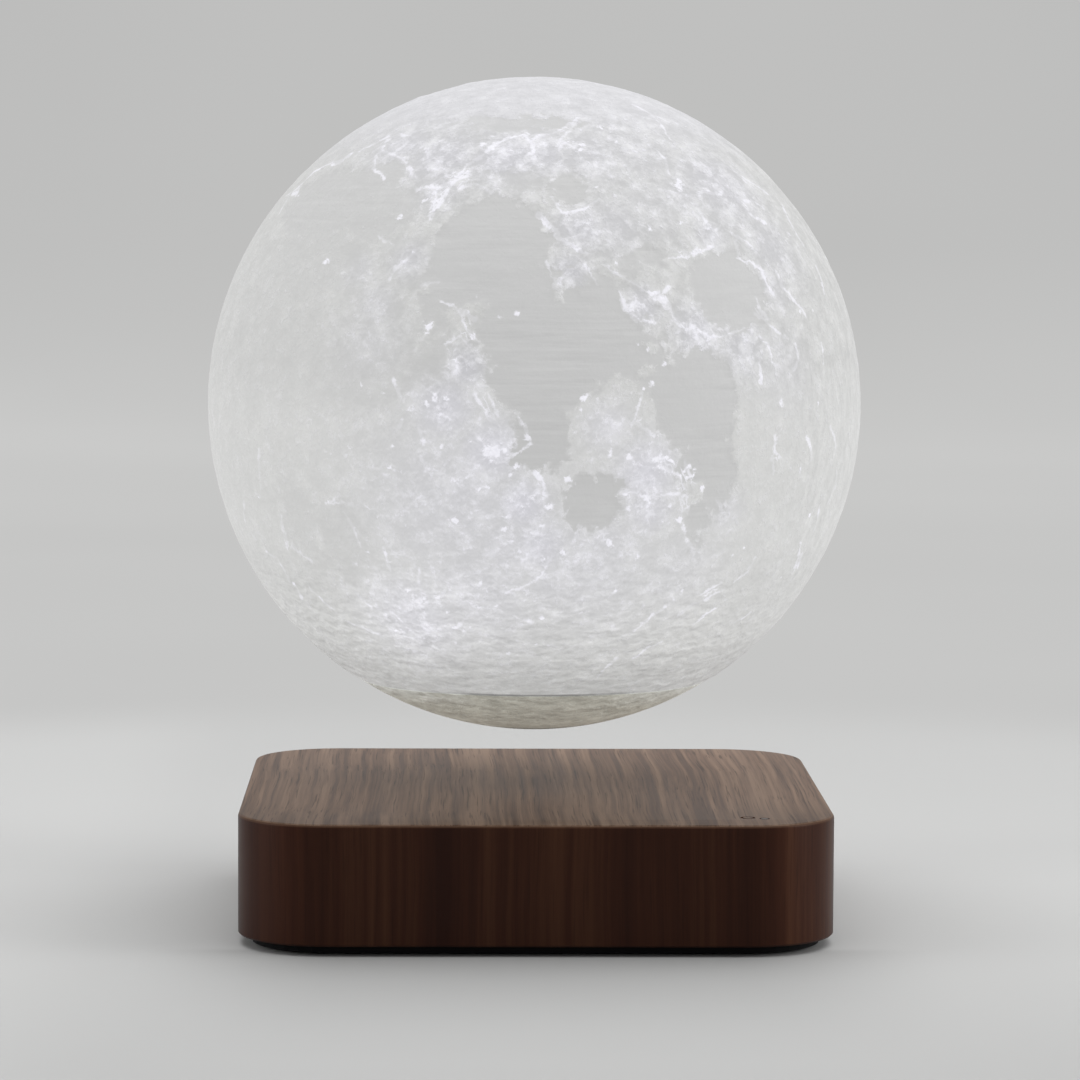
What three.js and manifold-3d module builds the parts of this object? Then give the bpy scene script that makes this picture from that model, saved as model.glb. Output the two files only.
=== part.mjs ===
// Levitating moon lamp.
// A lit globe with the Moon's relief floats above a square walnut base. The base holds a
// ring magnet, four steering coils, a position sensor and a flat coil that sends power up.
// The globe holds a disc magnet, a receiving coil and the light.
// Lengths are in millimetres, +Z is up and the front faces -Y. The origin lies on the
// table under the middle of the base.

import * as THREE from 'three';
import { mergeVertices, toCreasedNormals } from 'three/addons/utils/BufferGeometryUtils.js';
import Module from 'manifold-3d';

const wasm = await Module();
wasm.setup();

// Base as seen from outside
const baseSide = 125;
const baseCornerRadius = 19.2;
const woodHeight = 25.4;
const topEdgeRound = 0.8;
const bottomEdgeChamfer = 0.4;
const plinthHeight = 2.1;
const plinthInset = 3;

// Globe as seen from outside
const moonDiameter = 142;
const hoverGap = 12.5;
const seamGap = 0.3;

// Fits that many pieces share
const fitGap = 0.3;
const cutOverrun = 1;
const rootDepth = 0.6;
const weldTolerance = 0.0001;

// Wooden case, inside
const caseWall = 5;
const caseRoof = 3.5;
const cornerWebTop = 9.9;
const cornerWebReach = 6;
const caseScrewInset = 13.5;
const plugHoleRadius = 5.75;

// Bottom plate and what stands on it
const footProud = 0.5;
const footRadius = 5;
const footRecess = 0.6;
const footChamfer = 0.25;
const footFromScrew = 13;
const lipHeight = 3;
const lipWall = 1.6;
const lipGap = 0.4;
const standoffHeight = 5.3;
const standoffRadius = 3.3;
const ventLength = 26;
const ventWidth = 2;
const ventPitch = 7;
const ventCount = 5;

// Countersunk screws that hold the plate to the case
const plateScrewShank = 1.3;
const plateScrewHead = 3.2;
const plateScrewHeadHeight = 1.2;
const plateScrewSunk = 0.15;
const plateScrewBite = 6.5;
const driveSlotLength = 3.6;
const driveSlotWidth = 0.7;
const driveSlotDepth = 0.5;

// Main board
const boardThickness = 1.6;
const boardMargin = 4.5;
const boardCornerGap = 0.8;

// Levitation module on the main board
const trayFloor = 1.5;
const trayWall = 1.6;
const trayWallTop = 8.5;
const trayToJack = 1.3;
const earRadius = 4.4;
const earGap = 0.6;
const moduleScrewShank = 1.2;
const moduleScrewHead = 2.5;
const moduleScrewHeadHeight = 1.6;
const moduleScrewBite = 4.6;
const yokeThickness = 1.2;
const ringInnerShare = 0.7;
const ringChamfer = 0.6;
const powerCoilThickness = 1.8;
const powerCoilInset = 0.6;
const powerCoilHeadroom = 0.7;
const coilSpacing = 1.5;
const bobbinFlange = 0.8;
const bobbinHub = 0.6;
const bobbinHeadroom = 0.5;
const coreShare = 0.35;
const windingInset = 0.6;
const sensorPostRadius = 2.6;
const sensorPostHeight = 6.5;
const sensorBoardGap = 1.2;
const sensorBoardThickness = 1;

// Touch key and its light, under the front right corner of the top
const touchFromSide = 18.6;
const touchFromFront = 11.5;
const lightFromSide = 15.2;
const lightFromFront = 10.2;
const touchPadRadius = 1.8;
const touchPadHeight = 1;
const touchBoardThickness = 1;
const touchBoardWidth = 11;
const touchBoardDepth = 10;
const touchBoardEdge = 1.4;
const lightPipeRadius = 0.8;
const lightPipeFlange = 1.4;
const lightPipeFlangeHeight = 0.4;
const keyLightWidth = 1.6;
const keyLightDepth = 1;
const ribbonWidth = 4;
const ribbonThickness = 0.8;
const ribbonBow = 1.6;
const ribbonFromEdge = 2.4;

// Power socket at the back
const jackWidth = 9;
const jackDepth = 14;
const jackHeight = 11;
const jackAxisHeight = 6.5;
const jackBoreRadius = 3.15;
const jackBoreDepth = 9.5;
const jackPinRadius = 1;
const jackPinShort = 1.2;
const jackNoseRadius = 4.2;
const jackNoseLength = 3;

// Parts under the main board
const chipSide = 9;
const chipHeight = 1.4;
const chipChamfer = 0.3;
const chipLegLength = 1;
const chipLegWidth = 0.5;
const chipLegHeight = 0.7;
const chipLegCount = 5;
const chipAwayX = 14;
const chipAwayY = 16;
const transistorWidth = 6.6;
const transistorDepth = 6.1;
const transistorHeight = 2.3;
const transistorTab = 2.6;
const transistorTabHeight = 0.8;
const transistorAwayX = 12;
const transistorAwayY = 18;
const inductorSide = 7;
const inductorHeight = 3.4;
const inductorCorner = 1.6;
const capacitorRadius = 3.1;
const capacitorHeight = 4;
const capacitorBase = 0.8;
const capacitorGroove = 0.4;

// Globe wall, and how deep its relief is cut
const globeWall = 1.2;
const rimHeight = 0.15;
const seaDepth = 0.45;
const craterDepth = 0.35;
const roughness = 0.1;

// Inside the cap and the globe
const magnetRadius = 20;
const magnetChamfer = 0.5;
const capFloorWall = 1.6;
const capRingWall = 4.2;
const receiverCoilWidth = 5.6;
const capChannelWall = 3.4;
const carrierThickness = 1.7;
const carrierRimHeight = 2.6;
const carrierRimWall = 1.5;
const carrierGap = 0.4;
const carrierScrewShank = 0.9;
const carrierScrewHead = 1.8;
const carrierScrewHeadHeight = 1.2;
const carrierScrewBite = 3.6;
const receiverBoardGap = 1;
const receiverBoardThickness = 1.2;
const receiverStandoff = 2;
const receiverStandoffRadius = 2;
const receiverStandoffInset = 3;
const wireHoleRadius = 2;
const rectifierWidth = 5;
const rectifierDepth = 4;
const rectifierHeight = 1.6;
const lightPostFlangeShare = 0.46;
const lightPostWaistShare = 0.6;
const lightPostToRectifier = 1.5;
const lightPostFlangeHeight = 1.4;
const lightPostHeight = 9;
const lightBoardRadius = 11;
const lightBoardThickness = 1.6;
const lightDomeRadius = 6.5;
const lightDomeHeight = 3.2;
const lightDomeRim = 0.8;

// Facet counts
const cornerDivisions = 4;
const slotDivisions = 2;
const roundSides = 16;
const smallSides = 8;
const ringSides = 28;
const globeDivisions = 13;
const globeInnerSides = 24;
const globeInnerBands = 12;
const topRoundSteps = 3;

// Levels and places worked out from the sizes above
const plateBottom = footProud;
const plateTop = plinthHeight;
const caseTop = plinthHeight + woodHeight;
const roofUnder = caseTop - caseRoof;
const cavityHalf = baseSide / 2 - caseWall;
const cavityCornerRadius = baseCornerRadius - caseWall;
const caseScrewAt = baseSide / 2 - caseScrewInset;
const webCut = 2 * caseScrewAt - cornerWebReach * Math.SQRT2;
const boardBottom = plateTop + standoffHeight;
const boardTop = boardBottom + boardThickness;
const boardSide = 2 * (cavityHalf - boardMargin);
const yokeBottom = boardTop + trayFloor;
const yokeTop = yokeBottom + yokeThickness;
const ringTop = roofUnder - powerCoilHeadroom - powerCoilThickness;
const ringOuter = cavityHalf - fitGap - jackDepth - trayToJack - trayWall - fitGap;
const ringInner = ringOuter * ringInnerShare;
const trayRadius = ringOuter + fitGap + trayWall;
const earAt = (trayRadius + earRadius + earGap) / Math.SQRT2;
const coilRadius = (ringInner - coilSpacing) / (1 + Math.SQRT2) - coilSpacing / 2;
const coilAt = ringInner - coilSpacing - coilRadius;
const coreRadius = coilRadius * coreShare;
const bobbinTop = ringTop - bobbinHeadroom;
const jackAxis = boardTop + jackAxisHeight;
const moonRadius = moonDiameter / 2;
const moonCentre = caseTop + hoverGap + moonRadius;
const reliefDepth = rimHeight + seaDepth + craterDepth + roughness;
const moonInnerRadius = moonRadius - reliefDepth - globeWall;
const pocketRadius = magnetRadius + fitGap;
const channelInner = pocketRadius + capRingWall;
const channelOuter = channelInner + receiverCoilWidth + 2 * fitGap;
const mouthRadius = channelOuter + capChannelWall;
const seam = -Math.sqrt(moonInnerRadius ** 2 - mouthRadius ** 2);
const carrierTop = seam + carrierThickness;
const carrierScrewCircle = pocketRadius + capRingWall / 2;
const receiverBoardRadius = carrierScrewCircle - carrierScrewHead - receiverBoardGap;
const receiverBoardBottom = carrierTop + receiverStandoff;
const receiverBoardTop = receiverBoardBottom + receiverBoardThickness;
const lightPostFlange = receiverBoardRadius * lightPostFlangeShare;
const lightPostRadius = lightPostFlange * lightPostWaistShare;
const rectifierAt = lightPostFlange + lightPostToRectifier + rectifierWidth / 2;
const lightBoardBottom = receiverBoardTop + lightPostHeight;
const lightBoardTop = lightBoardBottom + lightBoardThickness;

// Colours and finishes
const finishes = {
  walnut: finish(0x4a3226, 0.55, 0),
  plinthPlastic: finish(0x17171a, 0.6, 0),
  rubber: finish(0x101012, 0.9, 0),
  steel: finish(0x9a9da1, 0.35, 0.9),
  circuitBoard: finish(0x1f5a3a, 0.5, 0),
  trayPlastic: finish(0x2b2d31, 0.6, 0),
  magnet: finish(0xb9bcc0, 0.25, 0.95),
  ferrite: finish(0x3a3a3d, 0.7, 0.2),
  copper: finish(0xb5652c, 0.35, 0.8),
  bobbinPlastic: finish(0xd9d4c4, 0.5, 0),
  chipResin: finish(0x19191b, 0.5, 0),
  clearPlastic: finish(0xe6eef0, 0.15, 0),
  aluminium: finish(0xc4c7ca, 0.3, 0.9),
  moonPlastic: finish(0xe9e9ea, 0.6, 0),
  capPlastic: finish(0xc2bfb6, 0.6, 0),
  carrierPlastic: finish(0xefeeea, 0.5, 0),
  lightDome: finish(0xfff3cf, 0.3, 0),
};

function finish(color, rough, metal) {
  return new THREE.MeshStandardMaterial({ color, roughness: rough, metalness: metal });
}

// Solids: welding, joining and cutting

function welded(geometry) {
  const bare = geometry.clone();
  bare.deleteAttribute('normal');
  bare.deleteAttribute('uv');
  const merged = mergeVertices(bare, weldTolerance);
  const corners = merged.index.array;
  const kept = [];
  for (let i = 0; i < corners.length; i += 3) {
    const [a, b, c] = [corners[i], corners[i + 1], corners[i + 2]];
    if (a !== b && b !== c && c !== a) kept.push(a, b, c);
  }
  if (signedVolume(merged.attributes.position, kept) < 0) kept.reverse();
  merged.setIndex(kept);
  return merged;
}

function signedVolume(position, corners) {
  const [a, b, c] = [new THREE.Vector3(), new THREE.Vector3(), new THREE.Vector3()];
  let sum = 0;
  for (let i = 0; i < corners.length; i += 3) {
    a.fromBufferAttribute(position, corners[i]);
    b.fromBufferAttribute(position, corners[i + 1]);
    c.fromBufferAttribute(position, corners[i + 2]);
    sum += a.dot(b.cross(c));
  }
  return sum;
}

function solidOf(geometry) {
  const closed = welded(geometry);
  const mesh = new wasm.Mesh({
    numProp: 3,
    vertProperties: new Float32Array(closed.attributes.position.array),
    triVerts: new Uint32Array(closed.index.array),
  });
  return new wasm.Manifold(mesh);
}

function geometryOf(solid) {
  const mesh = solid.getMesh();
  const geometry = new THREE.BufferGeometry();
  geometry.setAttribute('position', new THREE.BufferAttribute(new Float32Array(mesh.vertProperties), 3));
  geometry.setIndex(Array.from(mesh.triVerts));
  return geometry;
}

function join(first, ...others) {
  return geometryOf(others.reduce((solid, other) => solid.add(solidOf(other)), solidOf(first)));
}

function cut(body, ...tools) {
  return geometryOf(tools.reduce((solid, tool) => solid.subtract(solidOf(tool)), solidOf(body)));
}

function common(first, second) {
  return geometryOf(solidOf(first).intersect(solidOf(second)));
}

function piece(name, material, geometry) {
  const mesh = new THREE.Mesh(toCreasedNormals(geometry, Math.PI / 5), material);
  mesh.name = name;
  return mesh;
}

// Basic forms, all standing along Z

function slab(shape, low, high, curveSegments = cornerDivisions) {
  const options = { depth: high - low, bevelEnabled: false, curveSegments };
  return new THREE.ExtrudeGeometry(shape, options).translate(0, 0, low);
}

function rod(radius, low, high, sides = smallSides) {
  const geometry = new THREE.CylinderGeometry(radius, radius, high - low, sides);
  return geometry.rotateX(Math.PI / 2).translate(0, 0, (low + high) / 2);
}

function rodAlongY(radius, near, far, sides = roundSides) {
  const geometry = new THREE.CylinderGeometry(radius, radius, far - near, sides);
  return geometry.translate(0, (near + far) / 2, 0);
}

function block(width, depth, low, high) {
  return new THREE.BoxGeometry(width, depth, high - low).translate(0, 0, (low + high) / 2);
}

function turned(profile, sides = ringSides) {
  const points = profile.map(([radius, level]) => new THREE.Vector2(radius, level));
  return welded(new THREE.LatheGeometry(points, sides).rotateX(Math.PI / 2));
}

function tube(inner, outer, low, high, sides = ringSides) {
  return turned([[inner, low], [outer, low], [outer, high], [inner, high], [inner, low]], sides);
}

// A stack of outlines that have the same number of points, closed at both ends
function lofted(sections) {
  const count = sections[0].outline.length;
  const position = [];
  const corners = [];
  for (const { outline, level } of sections) {
    for (const point of outline) position.push(point.x, point.y, level);
  }
  for (let row = 0; row + 1 < sections.length; row += 1) {
    for (let i = 0; i < count; i += 1) {
      const next = (i + 1) % count;
      const low = row * count;
      const high = low + count;
      corners.push(low + i, low + next, high + next);
      corners.push(low + i, high + next, high + i);
    }
  }
  const last = (sections.length - 1) * count;
  for (let i = 1; i + 1 < count; i += 1) {
    corners.push(0, i + 1, i);
    corners.push(last, last + i, last + i + 1);
  }
  const geometry = new THREE.BufferGeometry();
  geometry.setAttribute('position', new THREE.Float32BufferAttribute(position, 3));
  geometry.setIndex(corners);
  return geometry;
}

// Outlines

function roundedSquare(side, cornerRadius) {
  const middle = side / 2 - cornerRadius;
  const shape = new THREE.Shape();
  shape.absarc(middle, -middle, cornerRadius, -Math.PI / 2, 0);
  shape.absarc(middle, middle, cornerRadius, 0, Math.PI / 2);
  shape.absarc(-middle, middle, cornerRadius, Math.PI / 2, Math.PI);
  shape.absarc(-middle, -middle, cornerRadius, Math.PI, Math.PI * 1.5);
  shape.closePath();
  return shape;
}

function outlinePoints(side, cornerRadius) {
  const points = roundedSquare(side, cornerRadius).getPoints(cornerDivisions);
  if (points[0].distanceTo(points[points.length - 1]) < weldTolerance) points.pop();
  return points;
}

// A square whose corners are cut straight where x + y reaches a given sum
function cutCornerSquare(half, cornerSum) {
  const short = cornerSum - half;
  return new THREE.Shape([
    new THREE.Vector2(half, -short),
    new THREE.Vector2(half, short),
    new THREE.Vector2(short, half),
    new THREE.Vector2(-short, half),
    new THREE.Vector2(-half, short),
    new THREE.Vector2(-half, -short),
    new THREE.Vector2(-short, -half),
    new THREE.Vector2(short, -half),
  ]);
}

function slot(length, width) {
  const straight = (length - width) / 2;
  const shape = new THREE.Shape();
  shape.absarc(straight, 0, width / 2, -Math.PI / 2, Math.PI / 2);
  shape.absarc(-straight, 0, width / 2, Math.PI / 2, Math.PI * 1.5);
  shape.closePath();
  return shape;
}

function fourCorners(across, along = across) {
  return [[across, -along], [across, along], [-across, along], [-across, -along]];
}

// Wooden case: a rounded square box, open below, with a screw web in each corner

function woodCase() {
  const levels = [
    { inset: bottomEdgeChamfer, level: plinthHeight },
    { inset: 0, level: plinthHeight + bottomEdgeChamfer },
  ];
  for (let step = 0; step <= topRoundSteps; step += 1) {
    const angle = (step / topRoundSteps) * (Math.PI / 2);
    levels.push({
      inset: topEdgeRound * (1 - Math.cos(angle)),
      level: caseTop - topEdgeRound * (1 - Math.sin(angle)),
    });
  }
  const outside = lofted(levels.map(({ inset, level }) => ({
    outline: outlinePoints(baseSide - 2 * inset, baseCornerRadius - inset),
    level,
  })));
  const webTop = plinthHeight + cornerWebTop;
  const upperRoom = slab(roundedSquare(2 * cavityHalf, cavityCornerRadius), webTop - rootDepth, roofUnder);
  const lowerRoom = slab(cutCornerSquare(cavityHalf, webCut), plinthHeight - cutOverrun, webTop);
  const upperOnly = cut(upperRoom, block(baseSide, baseSide, webTop - rootDepth - cutOverrun, webTop));
  const plugHole = rodAlongY(plugHoleRadius, cavityHalf - cutOverrun, baseSide / 2 + cutOverrun);
  const pipeHole = rod(lightPipeRadius + fitGap, roofUnder - cutOverrun, caseTop + cutOverrun);
  pipeHole.translate(baseSide / 2 - lightFromSide, lightFromFront - baseSide / 2, 0);
  plugHole.translate(0, 0, jackAxis);
  const pilotTop = plateTop + plateScrewBite + fitGap;
  const pilots = fourCorners(caseScrewAt).map(([x, y]) =>
    rod(plateScrewShank + fitGap, plinthHeight - cutOverrun, pilotTop).translate(x, y, 0));
  return cut(outside, lowerRoom, upperOnly, plugHole, pipeHole, ...pilots);
}

// Black plate that closes the base, with a locating lip, standoffs, vents and foot recesses

function bottomPlate() {
  const floor = slab(
    roundedSquare(baseSide - 2 * plinthInset, baseCornerRadius - plinthInset), plateBottom, plateTop);
  const lipHalf = cavityHalf - lipGap;
  const lipSum = webCut - lipGap * Math.SQRT2;
  const lipShape = cutCornerSquare(lipHalf, lipSum);
  lipShape.holes.push(cutCornerSquare(lipHalf - lipWall, lipSum - lipWall * Math.SQRT2));
  const lip = slab(lipShape, plateTop - rootDepth, plateTop + lipHeight);
  const standoffs = fourCorners(earAt).map(([x, y]) =>
    rod(standoffRadius, plateTop - rootDepth, boardBottom).translate(x, y, 0));
  const pilots = fourCorners(earAt).map(([x, y]) =>
    rod(moduleScrewShank + fitGap, plateTop + fitGap, boardBottom + cutOverrun).translate(x, y, 0));
  const recess = rod(footRadius + fitGap, plateBottom - cutOverrun, plateBottom + footRecess, roundSides);
  const recesses = fourCorners(caseScrewAt, caseScrewAt - footFromScrew).map(([x, y]) =>
    recess.clone().translate(x, y, 0));
  const sinks = fourCorners(caseScrewAt).map(([x, y]) => screwSink().translate(x, y, 0));
  const opening = slot(ventLength, ventWidth);
  const vents = [];
  for (let i = 0; i < ventCount; i += 1) {
    const away = (i - (ventCount - 1) / 2) * ventPitch;
    const vent = slab(opening, plateBottom - cutOverrun, plateTop + cutOverrun, slotDivisions);
    vents.push(vent.translate(0, away, 0));
  }
  return cut(join(floor, lip, ...standoffs), ...pilots, ...recesses, ...sinks, ...vents);
}

function screwSink() {
  const mouth = plateScrewHead + fitGap;
  const shaft = plateScrewShank + fitGap;
  const neck = plateBottom + plateScrewSunk + plateScrewHeadHeight;
  return turned([
    [0, plateBottom - cutOverrun], [mouth, plateBottom - cutOverrun], [mouth, plateBottom + plateScrewSunk],
    [shaft, neck], [shaft, plateTop + cutOverrun], [0, plateTop + cutOverrun],
  ], smallSides);
}

function plateScrew() {
  const headBottom = plateBottom + plateScrewSunk;
  const body = turned([
    [0, headBottom], [plateScrewHead, headBottom], [plateScrewShank, headBottom + plateScrewHeadHeight],
    [plateScrewShank, plateTop + plateScrewBite - plateScrewShank], [0, plateTop + plateScrewBite],
  ], smallSides);
  const [low, high] = [headBottom - cutOverrun, headBottom + driveSlotDepth];
  const recess = [
    block(driveSlotLength, driveSlotWidth, low, high),
    block(driveSlotWidth, driveSlotLength, low, high),
  ];
  return cut(body, ...recess);
}

function rubberFoot() {
  const top = plateBottom + footRecess;
  return turned([
    [0, 0], [footRadius - footChamfer, 0], [footRadius, footChamfer], [footRadius, top], [0, top],
  ], roundSides);
}

// Main board, cut back at its corners where the case's screw webs stand

function mainBoard() {
  const cornerSum = webCut - boardCornerGap * Math.SQRT2;
  const cornerRadius = (boardSide - cornerSum) / (2 - Math.SQRT2);
  const shape = roundedSquare(boardSide, cornerRadius);
  const holes = fourCorners(earAt).map(([x, y]) =>
    rod(moduleScrewShank + fitGap, boardBottom - cutOverrun, boardTop + cutOverrun).translate(x, y, 0));
  return cut(slab(shape, boardBottom, boardTop), ...holes);
}

// Levitation module: tray, steel yoke, ring magnet, four coils, sensor and power coil

function moduleTray() {
  const wallTop = boardTop + trayWallTop;
  const dish = turned([
    [0, boardTop], [trayRadius, boardTop], [trayRadius, wallTop], [trayRadius - trayWall, wallTop],
    [trayRadius - trayWall, yokeBottom], [0, yokeBottom],
  ]);
  const post = rod(sensorPostRadius, boardTop + rootDepth, yokeTop + sensorPostHeight);
  const ears = fourCorners(earAt).map(([x, y]) => rod(earRadius, boardTop, yokeBottom).translate(x, y, 0));
  const armReach = earAt * Math.SQRT2 - trayRadius + trayWall;
  const arms = fourCorners(earAt).map(([x, y]) => {
    const arm = block(armReach, 2 * earRadius, boardTop, yokeBottom);
    arm.translate(earAt * Math.SQRT2 - armReach / 2, 0, 0);
    return arm.rotateZ(Math.atan2(y, x));
  });
  const holes = fourCorners(earAt).map(([x, y]) =>
    rod(moduleScrewShank + fitGap, boardTop - cutOverrun, yokeBottom + cutOverrun).translate(x, y, 0));
  return cut(join(dish, post, ...ears, ...arms), ...holes);
}

function moduleScrew() {
  const headTop = yokeBottom + moduleScrewHeadHeight;
  const tip = boardBottom - moduleScrewBite;
  return turned([
    [0, tip], [moduleScrewShank, tip + moduleScrewShank], [moduleScrewShank, yokeBottom],
    [moduleScrewHead, yokeBottom], [moduleScrewHead, headTop], [0, headTop],
  ], smallSides);
}

function yokePlate() {
  return tube(sensorPostRadius + fitGap, ringOuter, yokeBottom, yokeTop);
}

function ringMagnet() {
  return turned([
    [ringInner, yokeTop], [ringOuter, yokeTop], [ringOuter, ringTop - ringChamfer],
    [ringOuter - ringChamfer, ringTop], [ringInner + ringChamfer, ringTop],
    [ringInner, ringTop - ringChamfer], [ringInner, yokeTop],
  ]);
}

function powerCoil() {
  return tube(ringInner + ringChamfer + powerCoilInset, ringOuter - ringChamfer - powerCoilInset,
    ringTop, ringTop + powerCoilThickness);
}

function coilBobbin() {
  const bore = coreRadius + fitGap;
  const hub = bore + bobbinHub;
  return turned([
    [bore, yokeTop], [coilRadius, yokeTop], [coilRadius, yokeTop + bobbinFlange],
    [hub, yokeTop + bobbinFlange], [hub, bobbinTop - bobbinFlange], [coilRadius, bobbinTop - bobbinFlange],
    [coilRadius, bobbinTop], [bore, bobbinTop], [bore, yokeTop],
  ], roundSides);
}

function coilWinding() {
  const inner = coreRadius + fitGap + bobbinHub + fitGap;
  const [low, high] = [yokeTop + bobbinFlange, bobbinTop - bobbinFlange];
  return tube(inner, coilRadius - windingInset, low, high, roundSides);
}

function coilCore() {
  return rod(coreRadius, yokeTop, bobbinTop, roundSides);
}

function sensorBoard() {
  const level = yokeTop + sensorPostHeight;
  return rod(coilAt - coilRadius - sensorBoardGap, level, level + sensorBoardThickness, roundSides);
}

function positionSensor() {
  const level = yokeTop + sensorPostHeight + sensorBoardThickness;
  const side = (coilAt - coilRadius - sensorBoardGap) * Math.SQRT1_2;
  return bevelledBlock(side, side, level, level + sensorBoardThickness, sensorBoardThickness / 4);
}

// A block whose top edges are bevelled, as on moulded chips
function bevelledBlock(width, depth, low, high, bevel) {
  const outline = (inset) => [
    new THREE.Vector2(width / 2 - inset, inset - depth / 2),
    new THREE.Vector2(width / 2 - inset, depth / 2 - inset),
    new THREE.Vector2(inset - width / 2, depth / 2 - inset),
    new THREE.Vector2(inset - width / 2, inset - depth / 2),
  ];
  return lofted([
    { outline: outline(0), level: low },
    { outline: outline(0), level: high - bevel },
    { outline: outline(bevel), level: high },
  ]);
}

// Touch key: a pad glued under the top, its board, chip, lamp, light pipe and ribbon

const touchAt = [baseSide / 2 - touchFromSide, touchFromFront - baseSide / 2];
const keyLightAt = [baseSide / 2 - lightFromSide, lightFromFront - baseSide / 2];
const touchBoardTop = roofUnder - touchPadHeight;
const touchBoardBottom = touchBoardTop - touchBoardThickness;
const touchBoardAt = [
  keyLightAt[0] + touchBoardEdge - touchBoardWidth / 2,
  keyLightAt[1] - touchBoardEdge + touchBoardDepth / 2,
];

function touchPad() {
  return rod(touchPadRadius, touchBoardTop, roofUnder, roundSides).translate(...touchAt, 0);
}

function touchBoard() {
  return block(touchBoardWidth, touchBoardDepth, touchBoardBottom, touchBoardTop)
    .translate(...touchBoardAt, 0);
}

function touchChip() {
  const body = bevelledBlock(touchBoardWidth / 2, touchBoardDepth / 3, 0, chipHeight, chipChamfer);
  return body.rotateX(Math.PI).translate(...touchBoardAt, touchBoardBottom);
}

function keyLight() {
  return block(keyLightWidth, keyLightDepth, touchBoardTop, roofUnder - lightPipeFlangeHeight)
    .translate(...keyLightAt, 0);
}

function lightPipe() {
  const flangeBottom = roofUnder - lightPipeFlangeHeight;
  return turned([
    [0, flangeBottom], [lightPipeFlange, flangeBottom], [lightPipeFlange, roofUnder],
    [lightPipeRadius, roofUnder], [lightPipeRadius, caseTop], [0, caseTop],
  ], smallSides).translate(...keyLightAt, 0);
}

// A flat ribbon that bows out once between the touch board and the main board
function touchRibbon() {
  const rise = touchBoardBottom - boardTop;
  const steps = 8;
  const face = (offset) => {
    const points = [];
    for (let i = 0; i <= steps; i += 1) {
      const share = i / steps;
      const bow = ribbonBow * Math.sin(Math.PI * share) ** 2;
      points.push(new THREE.Vector2(bow + offset, boardTop + rise * share));
    }
    return points;
  };
  const outline = [...face(-ribbonThickness / 2), ...face(ribbonThickness / 2).reverse()];
  const options = { depth: ribbonWidth, bevelEnabled: false };
  const geometry = new THREE.ExtrudeGeometry(new THREE.Shape(outline), options);
  geometry.translate(0, 0, -ribbonWidth / 2).rotateX(Math.PI / 2).rotateZ(Math.PI);
  const left = touchBoardAt[0] - touchBoardWidth / 2 + ribbonFromEdge;
  const back = touchBoardAt[1] + touchBoardDepth / 2 - ribbonFromEdge;
  return geometry.translate(left, back, 0);
}

// Power socket: a moulded box with a round nose, bored for the plug, and its centre pin

const jackBack = cavityHalf - fitGap;

function powerJack() {
  const housing = block(jackWidth, jackDepth - jackNoseLength, boardTop, boardTop + jackHeight);
  housing.translate(0, jackBack - jackNoseLength - (jackDepth - jackNoseLength) / 2, 0);
  const nose = rodAlongY(jackNoseRadius, jackBack - jackNoseLength - rootDepth, jackBack);
  nose.translate(0, 0, jackAxis);
  const bore = rodAlongY(jackBoreRadius, jackBack - jackBoreDepth, jackBack + cutOverrun);
  bore.translate(0, 0, jackAxis);
  return cut(join(housing, nose), bore);
}

function jackPin() {
  const root = jackBack - jackBoreDepth;
  return rodAlongY(jackPinRadius, root, jackBack - jackPinShort, smallSides).translate(0, 0, jackAxis);
}

// Parts on the underside of the main board

function controlChip() {
  const body = bevelledBlock(chipSide, chipSide, 0, chipHeight, chipChamfer);
  const legs = [];
  const pitch = chipSide / (chipLegCount + 1);
  for (let i = 0; i < chipLegCount; i += 1) {
    const along = (i - (chipLegCount - 1) / 2) * pitch;
    legs.push(block(chipSide + 2 * chipLegLength, chipLegWidth, 0, chipLegHeight).translate(0, along, 0));
  }
  return join(body, ...legs).rotateX(Math.PI).translate(0, 0, boardBottom);
}

function driveTransistor() {
  const body = bevelledBlock(transistorWidth, transistorDepth, 0, transistorHeight, chipChamfer);
  const tab = block(transistorWidth - 2 * chipChamfer, transistorTab, 0, transistorTabHeight);
  tab.translate(0, transistorDepth / 2, 0);
  return join(body, tab).rotateX(Math.PI).translate(0, 0, boardBottom);
}

function powerInductor() {
  const foot = slab(roundedSquare(inductorSide, inductorCorner), boardBottom - inductorHeight, boardBottom);
  const well = tube(inductorSide / 4, inductorSide / 2 - inductorCorner / 2,
    boardBottom - inductorHeight - cutOverrun, boardBottom - inductorHeight + chipChamfer, smallSides);
  return cut(foot, well);
}

function capacitor() {
  const footprint = roundedSquare(2 * capacitorRadius, capacitorRadius / 3);
  const seat = slab(footprint, boardBottom - capacitorBase, boardBottom);
  const can = turned([
    [0, boardBottom - rootDepth], [capacitorRadius - capacitorGroove, boardBottom - rootDepth],
    [capacitorRadius - capacitorGroove, boardBottom - capacitorBase - capacitorGroove],
    [capacitorRadius, boardBottom - capacitorBase - 2 * capacitorGroove],
    [capacitorRadius, boardBottom - capacitorHeight + capacitorGroove],
    [capacitorRadius - capacitorGroove, boardBottom - capacitorHeight], [0, boardBottom - capacitorHeight],
  ], smallSides);
  return join(seat, can);
}

// Relief of the globe. Longitude 0 faces the front and grows to the right, latitude grows
// upwards, both in degrees. Each sea is longitude, latitude, half width and half height.

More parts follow.
